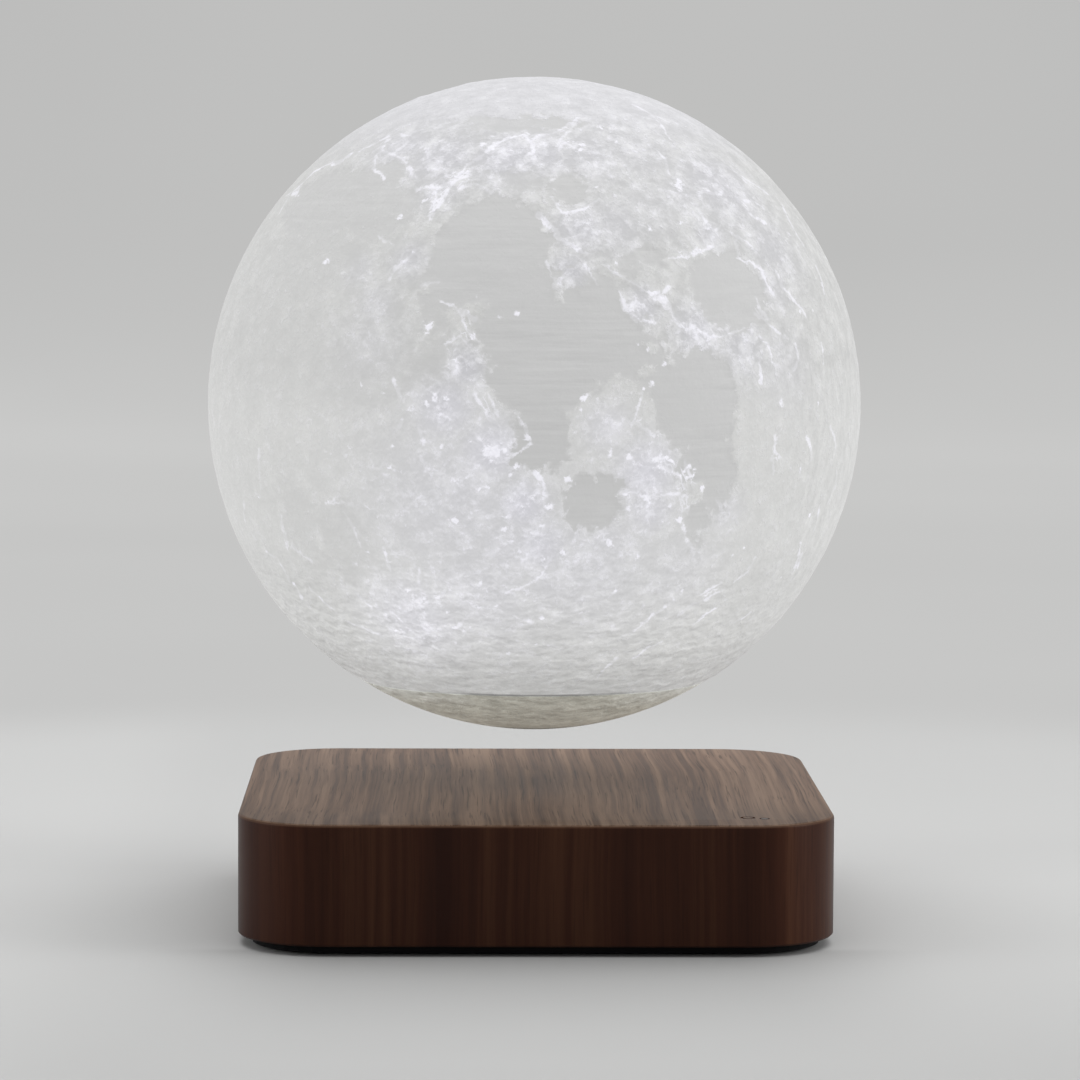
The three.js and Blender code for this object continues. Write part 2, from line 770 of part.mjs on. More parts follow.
const seas = [
  [-9, 29, 11, 9.5], [-3, 18, 8.5, 7], [5, 13.5, 10.5, 8], [13, 17, 6, 5], [18, 10, 6, 4.5],
  [27, 5, 9, 8.5], [27.5, -7, 6.5, 7.5], [30.5, -16, 4, 5], [0, -1.5, 5.5, 5], [9, -13.5, 6, 6],
  [36, 21.5, 8.5, 7], [-42, 35, 15, 12], [-40, 47, 4.5, 3.5], [-33, 24, 8, 6], [-58, 19, 15, 17],
  [-58, 2, 12, 11], [-36, 7, 8, 7], [-43, -13, 8.5, 8], [-37, -21, 8, 7], [-62, -22, 7, 7],
  [-17, 16.5, 5, 4], [-23, 58.5, 13, 2.8], [-4, 59, 12, 2.8], [7.5, 41, 5, 3.5], [20, 28, 3.5, 3],
  [64, -2, 6, 6], [62, 13, 7, 4], [58, 57, 5, 4], [70, -40, 9, 9], [-118, -19, 6, 6],
  [125, 27, 6, 5], [106, -20, 5, 5], [168, -50, 16, 11], [141, -34, 5, 4],
];
const shoreInShare = 0.7;
const shoreOutShare = 1.15;
const craterCount = 72;
const craterLeast = 4;
const craterSpread = 6;
const craterRimShare = 0.28;
const goldenShare = (Math.sqrt(5) - 1) / 2;

function direction(longitude, latitude) {
  const [lon, lat] = [THREE.MathUtils.degToRad(longitude), THREE.MathUtils.degToRad(latitude)];
  return new THREE.Vector3(Math.cos(lat) * Math.sin(lon), -Math.cos(lat) * Math.cos(lon), Math.sin(lat));
}

// Craters are spread by the golden angle, and their widths follow the same share
const craters = Array.from({ length: craterCount }, (_, i) => {
  const latitude = THREE.MathUtils.radToDeg(Math.asin(1 - (2 * i + 1) / craterCount));
  const width = (i * goldenShare * goldenShare) % 1;
  return {
    at: direction((i * goldenShare * 360) % 360, latitude),
    reach: craterLeast + craterSpread * width ** 3,
  };
});

function seaCover(toward) {
  const latitude = THREE.MathUtils.radToDeg(Math.asin(toward.z));
  const longitude = THREE.MathUtils.radToDeg(Math.atan2(toward.x, -toward.y));
  let cover = 0;
  for (const [seaLongitude, seaLatitude, halfWidth, halfHeight] of seas) {
    const turn = THREE.MathUtils.euclideanModulo(longitude - seaLongitude + 180, 360) - 180;
    const east = turn * Math.cos(THREE.MathUtils.degToRad(latitude));
    const away = Math.hypot(east / halfWidth, (latitude - seaLatitude) / halfHeight);
    cover = Math.max(cover, 1 - THREE.MathUtils.smoothstep(away, shoreInShare, shoreOutShare));
  }
  return cover;
}

function ruggedness(toward) {
  const { x, y, z } = toward;
  const coarse = Math.sin(9 * x + 4 * y) * Math.sin(8 * y - 5 * z) * Math.sin(7 * z + 3 * x);
  const fine = Math.sin(23 * x - 11 * z) * Math.sin(19 * y + 13 * x) * Math.sin(21 * z + 9 * y);
  return 0.5 + 0.3 * coarse + 0.2 * fine;
}

// How far the surface lies below the full radius in a direction
function reliefCut(toward) {
  const cover = seaCover(toward);
  let bowl = 0;
  let rim = 0;
  for (const { at, reach } of craters) {
    const away = THREE.MathUtils.radToDeg(Math.acos(THREE.MathUtils.clamp(at.dot(toward), -1, 1))) / reach;
    if (away < 1) bowl = Math.max(bowl, 1 - away * away);
    const ridge = 1 - Math.abs(away - 1) / craterRimShare;
    if (ridge > 0) rim = Math.max(rim, ridge);
  }
  const upland = 1 - cover;
  return rimHeight * (1 - rim * upland) + seaDepth * cover + craterDepth * bowl * upland
    + roughness * ruggedness(toward) * upland;
}

function reliefGlobe() {
  const geometry = welded(new THREE.IcosahedronGeometry(moonRadius, globeDivisions));
  const position = geometry.attributes.position;
  const point = new THREE.Vector3();
  const toward = new THREE.Vector3();
  for (let i = 0; i < position.count; i += 1) {
    toward.fromBufferAttribute(position, i).normalize();
    point.copy(toward).multiplyScalar(moonRadius - reliefCut(toward));
    position.setXYZ(i, point.x, point.y, point.z);
  }
  return geometry;
}

// Globe: a thin lit shell above the seam, and a thicker cap below it

const globe = reliefGlobe();

function moonShell() {
  const upper = common(globe, block(moonDiameter, moonDiameter, seam, moonRadius + cutOverrun));
  const room = new THREE.SphereGeometry(moonInnerRadius, globeInnerSides, globeInnerBands);
  const mouth = rod(mouthRadius, seam - cutOverrun, carrierTop + carrierRimHeight + cutOverrun, ringSides);
  return cut(upper, room.rotateX(Math.PI / 2), mouth);
}

// Height above the globe's lowest point at which a floor still has its wall at this radius
function floorOver(radius) {
  return moonRadius - Math.sqrt(moonRadius ** 2 - radius ** 2) + reliefDepth + capFloorWall;
}

const pocketFloor = floorOver(pocketRadius) - moonRadius;
const channelFloor = floorOver(channelOuter) - moonRadius;

function bottomCap() {
  const lower = common(globe, block(moonDiameter, moonDiameter, -moonRadius - cutOverrun, seam));
  const edge = tube(channelOuter, moonRadius, seam - seamGap, seam + cutOverrun);
  const pocket = rod(pocketRadius, pocketFloor, seam + cutOverrun, ringSides);
  const channel = tube(channelInner, channelOuter + rootDepth, channelFloor, seam + cutOverrun);
  const channelRoom = common(channel, rod(channelOuter, channelFloor, seam + cutOverrun, ringSides));
  const pilots = carrierScrewPlaces().map(([x, y]) =>
    rod(carrierScrewShank + fitGap, seam - carrierScrewBite - fitGap, seam + cutOverrun).translate(x, y, 0));
  return cut(lower, edge, pocket, channelRoom, ...pilots);
}

function carrierScrewPlaces() {
  return [0, 1, 2].map((i) => {
    const angle = Math.PI / 2 + (i * Math.PI * 2) / 3;
    return [carrierScrewCircle * Math.cos(angle), carrierScrewCircle * Math.sin(angle)];
  });
}

// Inside the cap: disc magnet and receiving coil

function discMagnet() {
  const [low, high] = [pocketFloor + fitGap, seam - fitGap];
  return turned([
    [0, low], [magnetRadius - magnetChamfer, low], [magnetRadius, low + magnetChamfer],
    [magnetRadius, high - magnetChamfer], [magnetRadius - magnetChamfer, high], [0, high],
  ]);
}

function receiverCoil() {
  return tube(channelInner + fitGap, channelOuter - fitGap, channelFloor, seam - fitGap);
}

// Carrier: a disc that closes the magnet pocket and carries the electronics and the light

function carrierDisc() {
  const radius = mouthRadius - carrierGap;
  const rimTop = carrierTop + carrierRimHeight;
  const dish = turned([
    [0, seam], [radius, seam], [radius, rimTop], [radius - carrierRimWall, rimTop],
    [radius - carrierRimWall, carrierTop], [0, carrierTop],
  ]);
  const standoffs = receiverStandoffPlaces().map(([x, y]) =>
    rod(receiverStandoffRadius, carrierTop - rootDepth, receiverBoardBottom).translate(x, y, 0));
  const holes = carrierScrewPlaces().map(([x, y]) =>
    rod(carrierScrewShank + fitGap, seam - cutOverrun, carrierTop + cutOverrun).translate(x, y, 0));
  const wireHole = rod(wireHoleRadius, seam - cutOverrun, carrierTop + cutOverrun);
  wireHole.translate((channelInner + channelOuter) / 2, 0, 0);
  return cut(join(dish, ...standoffs), ...holes, wireHole);
}

function receiverStandoffPlaces() {
  const circle = receiverBoardRadius - receiverStandoffInset;
  return [0, 1, 2].map((i) => {
    const angle = -Math.PI / 2 + (i * Math.PI * 2) / 3;
    return [circle * Math.cos(angle), circle * Math.sin(angle)];
  });
}

function carrierScrew() {
  const headTop = carrierTop + carrierScrewHeadHeight;
  const tip = seam - carrierScrewBite;
  return turned([
    [0, tip], [carrierScrewShank, tip + carrierScrewShank], [carrierScrewShank, carrierTop],
    [carrierScrewHead, carrierTop], [carrierScrewHead, headTop], [0, headTop],
  ], smallSides);
}

function receiverBoard() {
  return rod(receiverBoardRadius, receiverBoardBottom, receiverBoardTop, ringSides);
}

function rectifierChip() {
  const top = receiverBoardTop + rectifierHeight;
  return bevelledBlock(rectifierWidth, rectifierDepth, receiverBoardTop, top, chipChamfer)
    .translate(rectifierAt, 0, 0);
}

// The light: a metal post that spreads its heat, a round board and one domed lamp

function lightPost() {
  return turned([
    [0, receiverBoardTop], [lightPostFlange, receiverBoardTop],
    [lightPostFlange, receiverBoardTop + lightPostFlangeHeight],
    [lightPostRadius, receiverBoardTop + lightPostFlangeHeight],
    [lightPostRadius, lightBoardBottom - lightPostFlangeHeight],
    [lightPostFlange, lightBoardBottom - lightPostFlangeHeight],
    [lightPostFlange, lightBoardBottom], [0, lightBoardBottom],
  ], roundSides);
}

function lightBoard() {
  return rod(lightBoardRadius, lightBoardBottom, lightBoardTop, roundSides);
}

function lightDome() {
  const profile = [[0, lightBoardTop], [lightDomeRadius, lightBoardTop]];
  const steps = 5;
  for (let i = 0; i < steps; i += 1) {
    const angle = (i / steps) * (Math.PI / 2);
    const level = lightBoardTop + lightDomeRim + (lightDomeHeight - lightDomeRim) * Math.sin(angle);
    profile.push([lightDomeRadius * Math.cos(angle), level]);
  }
  profile.push([0, lightBoardTop + lightDomeHeight]);
  return turned(profile, roundSides);
}

// Assembly

function repeated(parent, name, material, geometry, places) {
  places.forEach(([x, y], i) => {
    const mesh = piece(`${name}_${i + 1}`, material, geometry);
    mesh.position.set(x, y, 0);
    parent.add(mesh);
  });
}

function baseGroup() {
  const base = new THREE.Group();
  base.add(
    piece('wood_case', finishes.walnut, woodCase()),
    piece('bottom_plate', finishes.plinthPlastic, bottomPlate()),
    piece('main_board', finishes.circuitBoard, mainBoard()),
    piece('module_tray', finishes.trayPlastic, moduleTray()),
    piece('yoke_plate', finishes.steel, yokePlate()),
    piece('ring_magnet', finishes.ferrite, ringMagnet()),
    piece('power_coil', finishes.copper, powerCoil()),
    piece('sensor_board', finishes.circuitBoard, sensorBoard()),
    piece('position_sensor', finishes.chipResin, positionSensor()),
    piece('touch_pad', finishes.copper, touchPad()),
    piece('touch_board', finishes.circuitBoard, touchBoard()),
    piece('touch_chip', finishes.chipResin, touchChip()),
    piece('touch_ribbon', finishes.bobbinPlastic, touchRibbon()),
    piece('key_light', finishes.lightDome, keyLight()),
    piece('light_pipe', finishes.clearPlastic, lightPipe()),
    piece('power_jack', finishes.plinthPlastic, powerJack()),
    piece('jack_pin', finishes.steel, jackPin()),
  );
  repeated(base, 'plate_screw', finishes.steel, plateScrew(), fourCorners(caseScrewAt));
  repeated(base, 'rubber_foot', finishes.rubber, rubberFoot(),
    fourCorners(caseScrewAt, caseScrewAt - footFromScrew));
  repeated(base, 'module_screw', finishes.steel, moduleScrew(), fourCorners(earAt));
  const coilPlaces = fourCorners(coilAt * Math.SQRT1_2);
  repeated(base, 'coil_bobbin', finishes.bobbinPlastic, coilBobbin(), coilPlaces);
  repeated(base, 'coil_winding', finishes.copper, coilWinding(), coilPlaces);
  repeated(base, 'coil_core', finishes.steel, coilCore(), coilPlaces);
  repeated(base, 'drive_transistor', finishes.chipResin, driveTransistor(),
    [[-transistorAwayX, transistorAwayY], [transistorAwayX, transistorAwayY]]);
  const chip = piece('control_chip', finishes.chipResin, controlChip());
  chip.position.set(-chipAwayX, -chipAwayY, 0);
  const inductor = piece('power_inductor', finishes.ferrite, powerInductor());
  inductor.position.set(0, earAt - inductorSide, 0);
  const can = piece('smoothing_capacitor', finishes.aluminium, capacitor());
  can.position.set(chipAwayX, -chipAwayY, 0);
  base.add(chip, inductor, can);
  return base;
}

function moonGroup() {
  const moon = new THREE.Group();
  moon.add(
    piece('moon_shell', finishes.moonPlastic, moonShell()),
    piece('bottom_cap', finishes.capPlastic, bottomCap()),
    piece('disc_magnet', finishes.magnet, discMagnet()),
    piece('receiver_coil', finishes.copper, receiverCoil()),
    piece('carrier_disc', finishes.carrierPlastic, carrierDisc()),
    piece('receiver_board', finishes.circuitBoard, receiverBoard()),
    piece('rectifier_chip', finishes.chipResin, rectifierChip()),
    piece('light_post', finishes.aluminium, lightPost()),
    piece('light_board', finishes.aluminium, lightBoard()),
    piece('light_dome', finishes.lightDome, lightDome()),
  );
  repeated(moon, 'carrier_screw', finishes.steel, carrierScrew(), carrierScrewPlaces());
  moon.position.set(0, 0, moonCentre);
  return moon;
}

const lamp = new THREE.Group();
lamp.add(baseGroup(), moonGroup());

export default lamp;
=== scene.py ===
# %% [markdown]
# A levitating moon lamp. A square walnut base stands on a pale table, and a lit globe with
# the relief of the Moon floats a finger's width above it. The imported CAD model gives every
# place and size. It is loaded first, and the finer pieces below are built round it.

# %% Load the frame
import itertools
import math

import bmesh
import bpy
import numpy as np
from mathutils import Matrix, Vector


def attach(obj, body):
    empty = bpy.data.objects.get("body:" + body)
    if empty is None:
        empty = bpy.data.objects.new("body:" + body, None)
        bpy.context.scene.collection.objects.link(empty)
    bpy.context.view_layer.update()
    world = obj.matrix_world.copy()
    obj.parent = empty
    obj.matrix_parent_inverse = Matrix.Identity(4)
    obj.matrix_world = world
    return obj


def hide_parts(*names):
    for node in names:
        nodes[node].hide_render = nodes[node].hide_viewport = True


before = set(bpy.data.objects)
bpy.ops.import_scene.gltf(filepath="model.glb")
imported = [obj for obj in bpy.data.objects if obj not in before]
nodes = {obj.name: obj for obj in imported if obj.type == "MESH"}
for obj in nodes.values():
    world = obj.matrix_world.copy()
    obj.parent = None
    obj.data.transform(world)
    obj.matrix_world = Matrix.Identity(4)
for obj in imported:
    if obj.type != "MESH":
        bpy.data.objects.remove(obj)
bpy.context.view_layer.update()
MM = 0.001

# %% [markdown]
# The camera stands almost a metre in front of the lamp, a little above the middle of the
# globe, and looks slightly down, with a long lens. That keeps the far edge of the base
# nearly as wide as the near one. A wide lens close by would spread the base too much.

# %% Camera
camera_data = bpy.data.cameras.new("camera")
camera_data.lens = 149.8
camera_data.sensor_width = 36
camera = bpy.data.objects.new("camera", camera_data)
bpy.context.scene.collection.objects.link(camera)
camera_turn = math.radians(-1.17)
camera_tilt = math.radians(90 - 4.62)
camera_roll = math.radians(0.27)
camera.matrix_world = (
    Matrix.Translation(Vector((-18.6, -977.9, 160.3)) * MM)
    @ Matrix.Rotation(camera_turn, 4, "Z")
    @ Matrix.Rotation(camera_tilt, 4, "X")
    @ Matrix.Rotation(camera_roll, 4, "Z")
)
bpy.context.scene.camera = camera
bpy.context.scene.view_settings.view_transform = "Standard"
print("camera", [round(value, 3) for value in camera.location])

# %% [markdown]
# Most finishes here are made from the same few shader nodes: noise that is stretched one
# way or another, ramps that turn it into tones, and mixes. Each could be wired by hand in
# the shader editor. A small class that adds a node and links it keeps that wiring short,
# so that a finish reads from top to bottom like a recipe.

# %% Helper: a finish under construction
class Finish:
    """Adds nodes to one material. Each method gives back the new node's output."""

    def __init__(self, name, **sockets):
        self.material = bpy.data.materials.new(name)
        self.material.use_nodes = True
        self.tree = self.material.node_tree
        self.surface = self.tree.nodes["Principled BSDF"]
        self.set(self.surface, sockets)

    def set(self, node, inputs):
        for key, value in inputs.items():
            if isinstance(key, str) and key not in node.inputs:
                key = key.replace("_", " ")
            socket = node.inputs[key]
            if isinstance(value, bpy.types.NodeSocket):
                self.tree.links.new(value, socket)
            elif isinstance(value, tuple) and socket.type == "RGBA":
                socket.default_value = (*value, 1)
            else:
                socket.default_value = value

    def add(self, kind, inputs, **settings):
        node = self.tree.nodes.new("ShaderNode" + kind)
        for key, value in settings.items():
            setattr(node, key, value)
        self.set(node, inputs)
        return node

    def place(self):
        return self.add("TexCoord", {}).outputs["Object"]

    def facing(self):
        return self.add("TexCoord", {}).outputs["Normal"]

    def parts(self, vector):
        return self.add("SeparateXYZ", {0: vector}).outputs

    def stretched(self, vector, scale):
        return self.add("Mapping", {"Vector": vector, "Scale": scale}).outputs[0]

    def math(self, kind, first, second=0.0, third=0.0):
        node = self.add("Math", {0: first, 1: second, 2: third}, operation=kind)
        return node.outputs[0]

    def times(self, first, *others):
        for other in others:
            first = self.math("MULTIPLY", first, other)
        return first

    def add_share(self, value, share, base):
        """The value times its share, on top of the base."""
        return self.math("MULTIPLY_ADD", value, share, base)

    def shifted(self, vector, offset, amount):
        node = self.add(
            "VectorMath", {0: offset, 1: (amount,) * 3, 2: vector}, operation="MULTIPLY_ADD"
        )
        return node.outputs[0]

    def moved(self, vector, step):
        return self.add("VectorMath", {0: vector, 1: step}, operation="ADD").outputs[0]

    def noise(self, vector, scale, detail, rough=0.5, out="Fac"):
        inputs = {"Vector": vector, "Scale": scale, "Detail": detail, "Roughness": rough}
        return self.add("TexNoise", inputs).outputs[out]

    def cells(self, vector, scale, out="Distance"):
        node = self.add("TexVoronoi", {"Vector": vector, "Scale": scale}, feature="F1")
        return node.outputs[out]

    def remap(self, value, low, high, to_low=0.0, to_high=1.0, smooth=True):
        node = self.add(
            "MapRange", {0: value, 1: low, 2: high, 3: to_low, 4: to_high},
            interpolation_type="SMOOTHSTEP" if smooth else "LINEAR",
        )
        return node.outputs[0]

    def ramp(self, value, *stops):
        node = self.add("ValToRGB", {0: value})
        elements = node.color_ramp.elements
        while len(elements) < len(stops):
            elements.new(0.5)
        for element, (position, colour) in zip(elements, stops):
            element.position = position
            element.color = (*colour, 1)
        return node.outputs[0]

    def mix(self, share, first, second, blend="MIX"):
        """Mixes colours. Sockets 0, 6 and 7 are the share and the two colours."""
        node = self.add("Mix", {}, data_type="RGBA", blend_type=blend)
        for index, value in ((0, share), (6, first), (7, second)):
            self.set(node, {index: value})
        return node.outputs[2]

    def bump(self, height, distance, strength=1.0):
        inputs = {"Height": height, "Distance": distance, "Strength": strength}
        return self.add("Bump", inputs).outputs[0]

    def stored(self, name, out="Fac"):
        return self.add("Attribute", {}, attribute_name=name).outputs[out]

    def scaled(self, tone, amount):
        """The tone, made darker or lighter by a factor."""
        grey = self.add("CombineColor", {0: amount, 1: amount, 2: amount}).outputs[0]
        return self.mix(1.0, tone, grey, "MULTIPLY")

    def wear(self, **inputs):
        self.set(self.surface, inputs)
        return self.material


# %% [markdown]
# Every piece is one mesh with its own object. Points are written in millimetres, because
# the drawing is, and turned into metres once, here. Smooth shading is right for the round
# forms, but it smears light over real corners, so edges sharper than a given angle are
# marked sharp.

# %% Helper: pieces from points and faces
SHARP_OVER = 30


def piece_from(name, points, faces, sharp_over=SHARP_OVER):
    mesh = bpy.data.meshes.new(name)
    mesh.from_pydata(np.asarray(points, float) * MM, [], faces)
    mesh.validate()
    piece = bpy.data.objects.new(name, mesh)
    bpy.context.scene.collection.objects.link(piece)
    shade(piece, sharp_over)
    return piece


def shade(piece, sharp_over=SHARP_OVER):
    build = bmesh.new()
    build.from_mesh(piece.data)
    for face in build.faces:
        face.smooth = True
    for edge in build.edges:
        edge.smooth = edge.calc_face_angle(0) < math.radians(sharp_over)
    build.to_mesh(piece.data)
    build.free()


def fit(piece, material, body, slot, *replaced):
    """Gives a piece its material and its body, and hides the CAD nodes that it stands for. The slot is not
    used.
    """
    piece.data.materials.clear()
    piece.data.materials.append(material)
    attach(piece, body)
    if replaced:
        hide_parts(*replaced)
    print(f"{piece.name}: {len(piece.data.polygons)} faces on {body}")


# %% [markdown]
# The table and the wall behind it are one pale sheet with a soft bend, as in a photo
# studio. It could be a strip behind the lamp, but then the other sides would look into
# nothing, so here it is a round dish with the lamp in its middle. Near the lamp the paper
# takes the light and the shadow as they fall. Far off it shows an even tone of its own,
# which the photo's background gives, and no lamp has to reach that far.

# %% Floor and backdrop
DISH_SIDES = 96
MIDDLE_RADIUS = 200
BEND_START = 1700
BEND_STEPS = 24
BEND_RADIUS = 900
WALL_TOP = 1300
PAPER_NEAR = 0.66
PAPER_NEAR_REACH = (0.30, 0.41)
FRONT_SHADE = [(0.0, 1.0), (0.2, 1.0), (0.4, 0.96), (0.6, 0.90), (0.8, 0.82), (1.0, 0.66)]
PAPER_FAR = [
    (0.30, 0.570), (0.42, 0.552), (1.00, 0.550), (1.79, 0.570), (1.98, 0.555),
    (2.24, 0.530), (2.45, 0.527), (2.70, 0.518),
]


def backdrop():
    profile = [(MIDDLE_RADIUS, 0)]
    for step in range(BEND_STEPS + 1):
        angle = math.radians(90) * step / BEND_STEPS
        profile.append((
            BEND_START + BEND_RADIUS * math.sin(angle),
            BEND_RADIUS * (1 - math.cos(angle)),
        ))
    profile.append((BEND_START + BEND_RADIUS, WALL_TOP))
    turns = [2 * math.pi * side / DISH_SIDES for side in range(DISH_SIDES)]
    points = [
        (out * math.cos(turn), out * math.sin(turn), z) for out, z in profile for turn in turns
    ]
    faces = [tuple(range(DISH_SIDES))]
    for row in range(len(profile) - 1):
        low, high = row * DISH_SIDES, (row + 1) * DISH_SIDES
        for i in range(DISH_SIDES):
            after = (i + 1) % DISH_SIDES
            faces.append((low + i, high + i, high + after, low + after))
    return piece_from("backdrop", points, faces, sharp_over=60)


# %% [markdown]
# Far off, the paper glows in its own tone, but only for camera, glossy and transmission
# rays, so it lights nothing. The Light Path node tells these rays apart. Near the lamp it
# is pale paper that takes light and shadow, with painted shade on top: it is painted darker
# towards the front and far behind the base, and painted light makes it a little lighter far
# to the left. There the photo's floor is a little darker in front of the base, where the
# base hides part of the room from it, and painted shade deepens that shade with no hard edge.

# %% Finish of the paper
def far_paper(paper, place, side, out, level):
    """The tone by distance along the dish, and a slow mottle."""
    first, last = PAPER_FAR[0][0], PAPER_FAR[-1][0]
    share = paper.remap(paper.math("ADD", out, level), first, last, smooth=False)
    tone = paper.ramp(share, *(
        ((at - first) / (last - first), (value, value, value * 0.990)) for at, value in PAPER_FAR
    ))
    middle = paper.times(paper.remap(side, 0.44, 0.20), paper.remap(level, 0.1, 0.5))
    mottle = paper.remap(paper.noise(place, 2.2, 2.0), 0.3, 0.7, 0.985, 1.01)
    return tone, paper.times(mottle, paper.remap(middle, 0, 1, 0.975, 1.030))


def front_painted_shade(paper, off_middle, depth):
    """How much of its tone the floor keeps under the painted shade in front of the base, 1 elsewhere."""
    in_front = paper.remap(depth, -0.20, -0.062, smooth=False)
    kept = paper.ramp(in_front, *((at, (value,) * 3) for at, value in FRONT_SHADE))
    shade = paper.times(
        paper.math("SUBTRACT", 1.0, kept),
        paper.remap(off_middle, 0.085, 0.040),
        paper.remap(depth, -0.050, -0.056),
    )
    return paper.math("SUBTRACT", 1.0, shade)


def paper_finish():
    paper = Finish(
        "backdrop_paper", Roughness=0.7, Specular_IOR_Level=0.15, Emission_Strength=1.0
    )
    place = paper.place()
    side, depth, level = paper.parts(place)
    off_middle = paper.math("ABSOLUTE", side)
    out = paper.math("SQRT", paper.add_share(side, side, paper.times(depth, depth)))
    rays = paper.add("LightPath", {}).outputs
    seen = rays["Is Camera Ray"]
    for kind in ("Is Glossy Ray", "Is Transmission Ray"):
        seen = paper.math("MAXIMUM", seen, rays[kind])
    shown = paper.times(seen, paper.remap(out, *PAPER_NEAR_REACH))
    near = paper.times(
        paper.math("SUBTRACT", 1.0, shown), PAPER_NEAR,
        # Painted shade: darker towards the front and far behind the base. Painted light: a little lighter
        # far to the left, where the lamp's shadow falls too wide.
        paper.remap(depth, -0.22, 0.06, 0.80, 1.0),
        paper.remap(depth, 0.03, 0.10, 1.0, 0.92),
        paper.remap(side, -0.115, -0.075, 1.06, 1.0),
        front_painted_shade(paper, off_middle, depth),
    )
    far_tone, mottle = far_paper(paper, place, off_middle, out, level)
    return paper.wear(
        Base_Color=paper.scaled((1.0, 1.0, 0.990), near),
        Emission_Color=paper.scaled(far_tone, paper.times(shown, mottle)),
    )


sweep = backdrop()
sweep.data.materials.append(paper_finish())
print("backdrop of", len(sweep.data.polygons), "faces")

# %% [markdown]
# The light is a large soft panel above, a weaker one from the right, a faint one from the
# left, and an even grey world that fills the rest. Hard lamps would give the globe one
# bright spot and the base a black shadow, and the photo has neither.

# %% Lights
def panel(name, place, target, size, power):
    lamp = bpy.data.lights.new(name, "AREA")
    lamp.shape = "RECTANGLE"
    lamp.size, lamp.size_y = size
    lamp.energy = power
    holder = bpy.data.objects.new(name, lamp)
    bpy.context.scene.collection.objects.link(holder)
    holder.location = place
    holder.visible_camera = False
    aim = Vector(target) - Vector(place)
    holder.rotation_euler = aim.to_track_quat("-Z", "Y").to_euler()


panel("top_panel", (0.15, 0.1, 1.8), (0, 0.1, 0), (2.4, 2.4), 31)
panel("right_panel", (1.5, -0.3, 0.6), (0, 0, 0.08), (0.8, 1.0), 9)
panel("left_panel", (-1.5, -0.2, 0.6), (0, 0, 0.08), (0.8, 1.0), 5.5)
world = bpy.data.worlds.new("studio")
bpy.context.scene.world = world
world.use_nodes = True
fill = world.node_tree.nodes["Background"]
fill.inputs["Color"].default_value = (0.8, 0.81, 0.82, 1)
fill.inputs["Strength"].default_value = 0.30
print("three panels and a fill of", round(fill.inputs["Strength"].default_value, 2))

# %% [markdown]
# The globe's skin is a real relief: the dark seas lie a little lower, the highlands are
# full of craters, and the craters' rims stand up. A bump map alone would vanish from the
# edge of the globe and would leave the mesh smooth, so points are moved. Noise gives the
# rough ground. Blender has noise textures, but numbers that move points are quicker to make
# here, for all the points at once: each lump of noise blends slopes at a grid's corners.

# %% Helper: noise on points
RANDOM_TABLE = 4096


class Ground:
    """Smooth noise from about -1 to 1, the same on every run."""

    def __init__(self, seed):
        draw = np.random.default_rng(seed)
        slopes = draw.normal(size=(RANDOM_TABLE, 3))
        self.slopes = slopes / np.linalg.norm(slopes, axis=1, keepdims=True)
        self.offset = draw.uniform(0, 50, 3)

    def lumps(self, points, size):
        grid = points / size + self.offset
        cell = np.floor(grid).astype(np.int64)
        part = grid - cell
        ease = part ** 3 * (part * (part * 6 - 15) + 10)
        total = np.zeros(len(points))
        for corner in itertools.product((0, 1), repeat=3):
            key = (cell + corner) @ np.array((73856093, 19349663, 83492791))
            slope = self.slopes[(key ^ (key >> 13)) % RANDOM_TABLE]
            weight = np.prod(np.where(corner, ease, 1 - ease), axis=1)
            total += weight * np.einsum("ij,ij->i", slope, part - corner)
        return total * 1.6

    def rough(self, points, size, octaves=4, keep=0.5):
        return sum(
            keep ** i * self.lumps(points, size / 2 ** i) for i in range(octaves)
        )

    def ridges(self, points, size, octaves=4, keep=0.55):
        total = 0
        for i in range(octaves):
            total = total + keep ** i * (1 - 2 * np.abs(self.lumps(points, size / 2 ** i)))
        return total


# %% [markdown]
# The map of the globe is a short list, as a model maker would note it: each sea is a
# rounded patch with its longitude, latitude, half width and half height in degrees, how
# dark it is, and how soft its shore is. Longitude 0 faces the front and grows to the
# right. Real shores are ragged, and noise that shifts the distance to the shore does that.

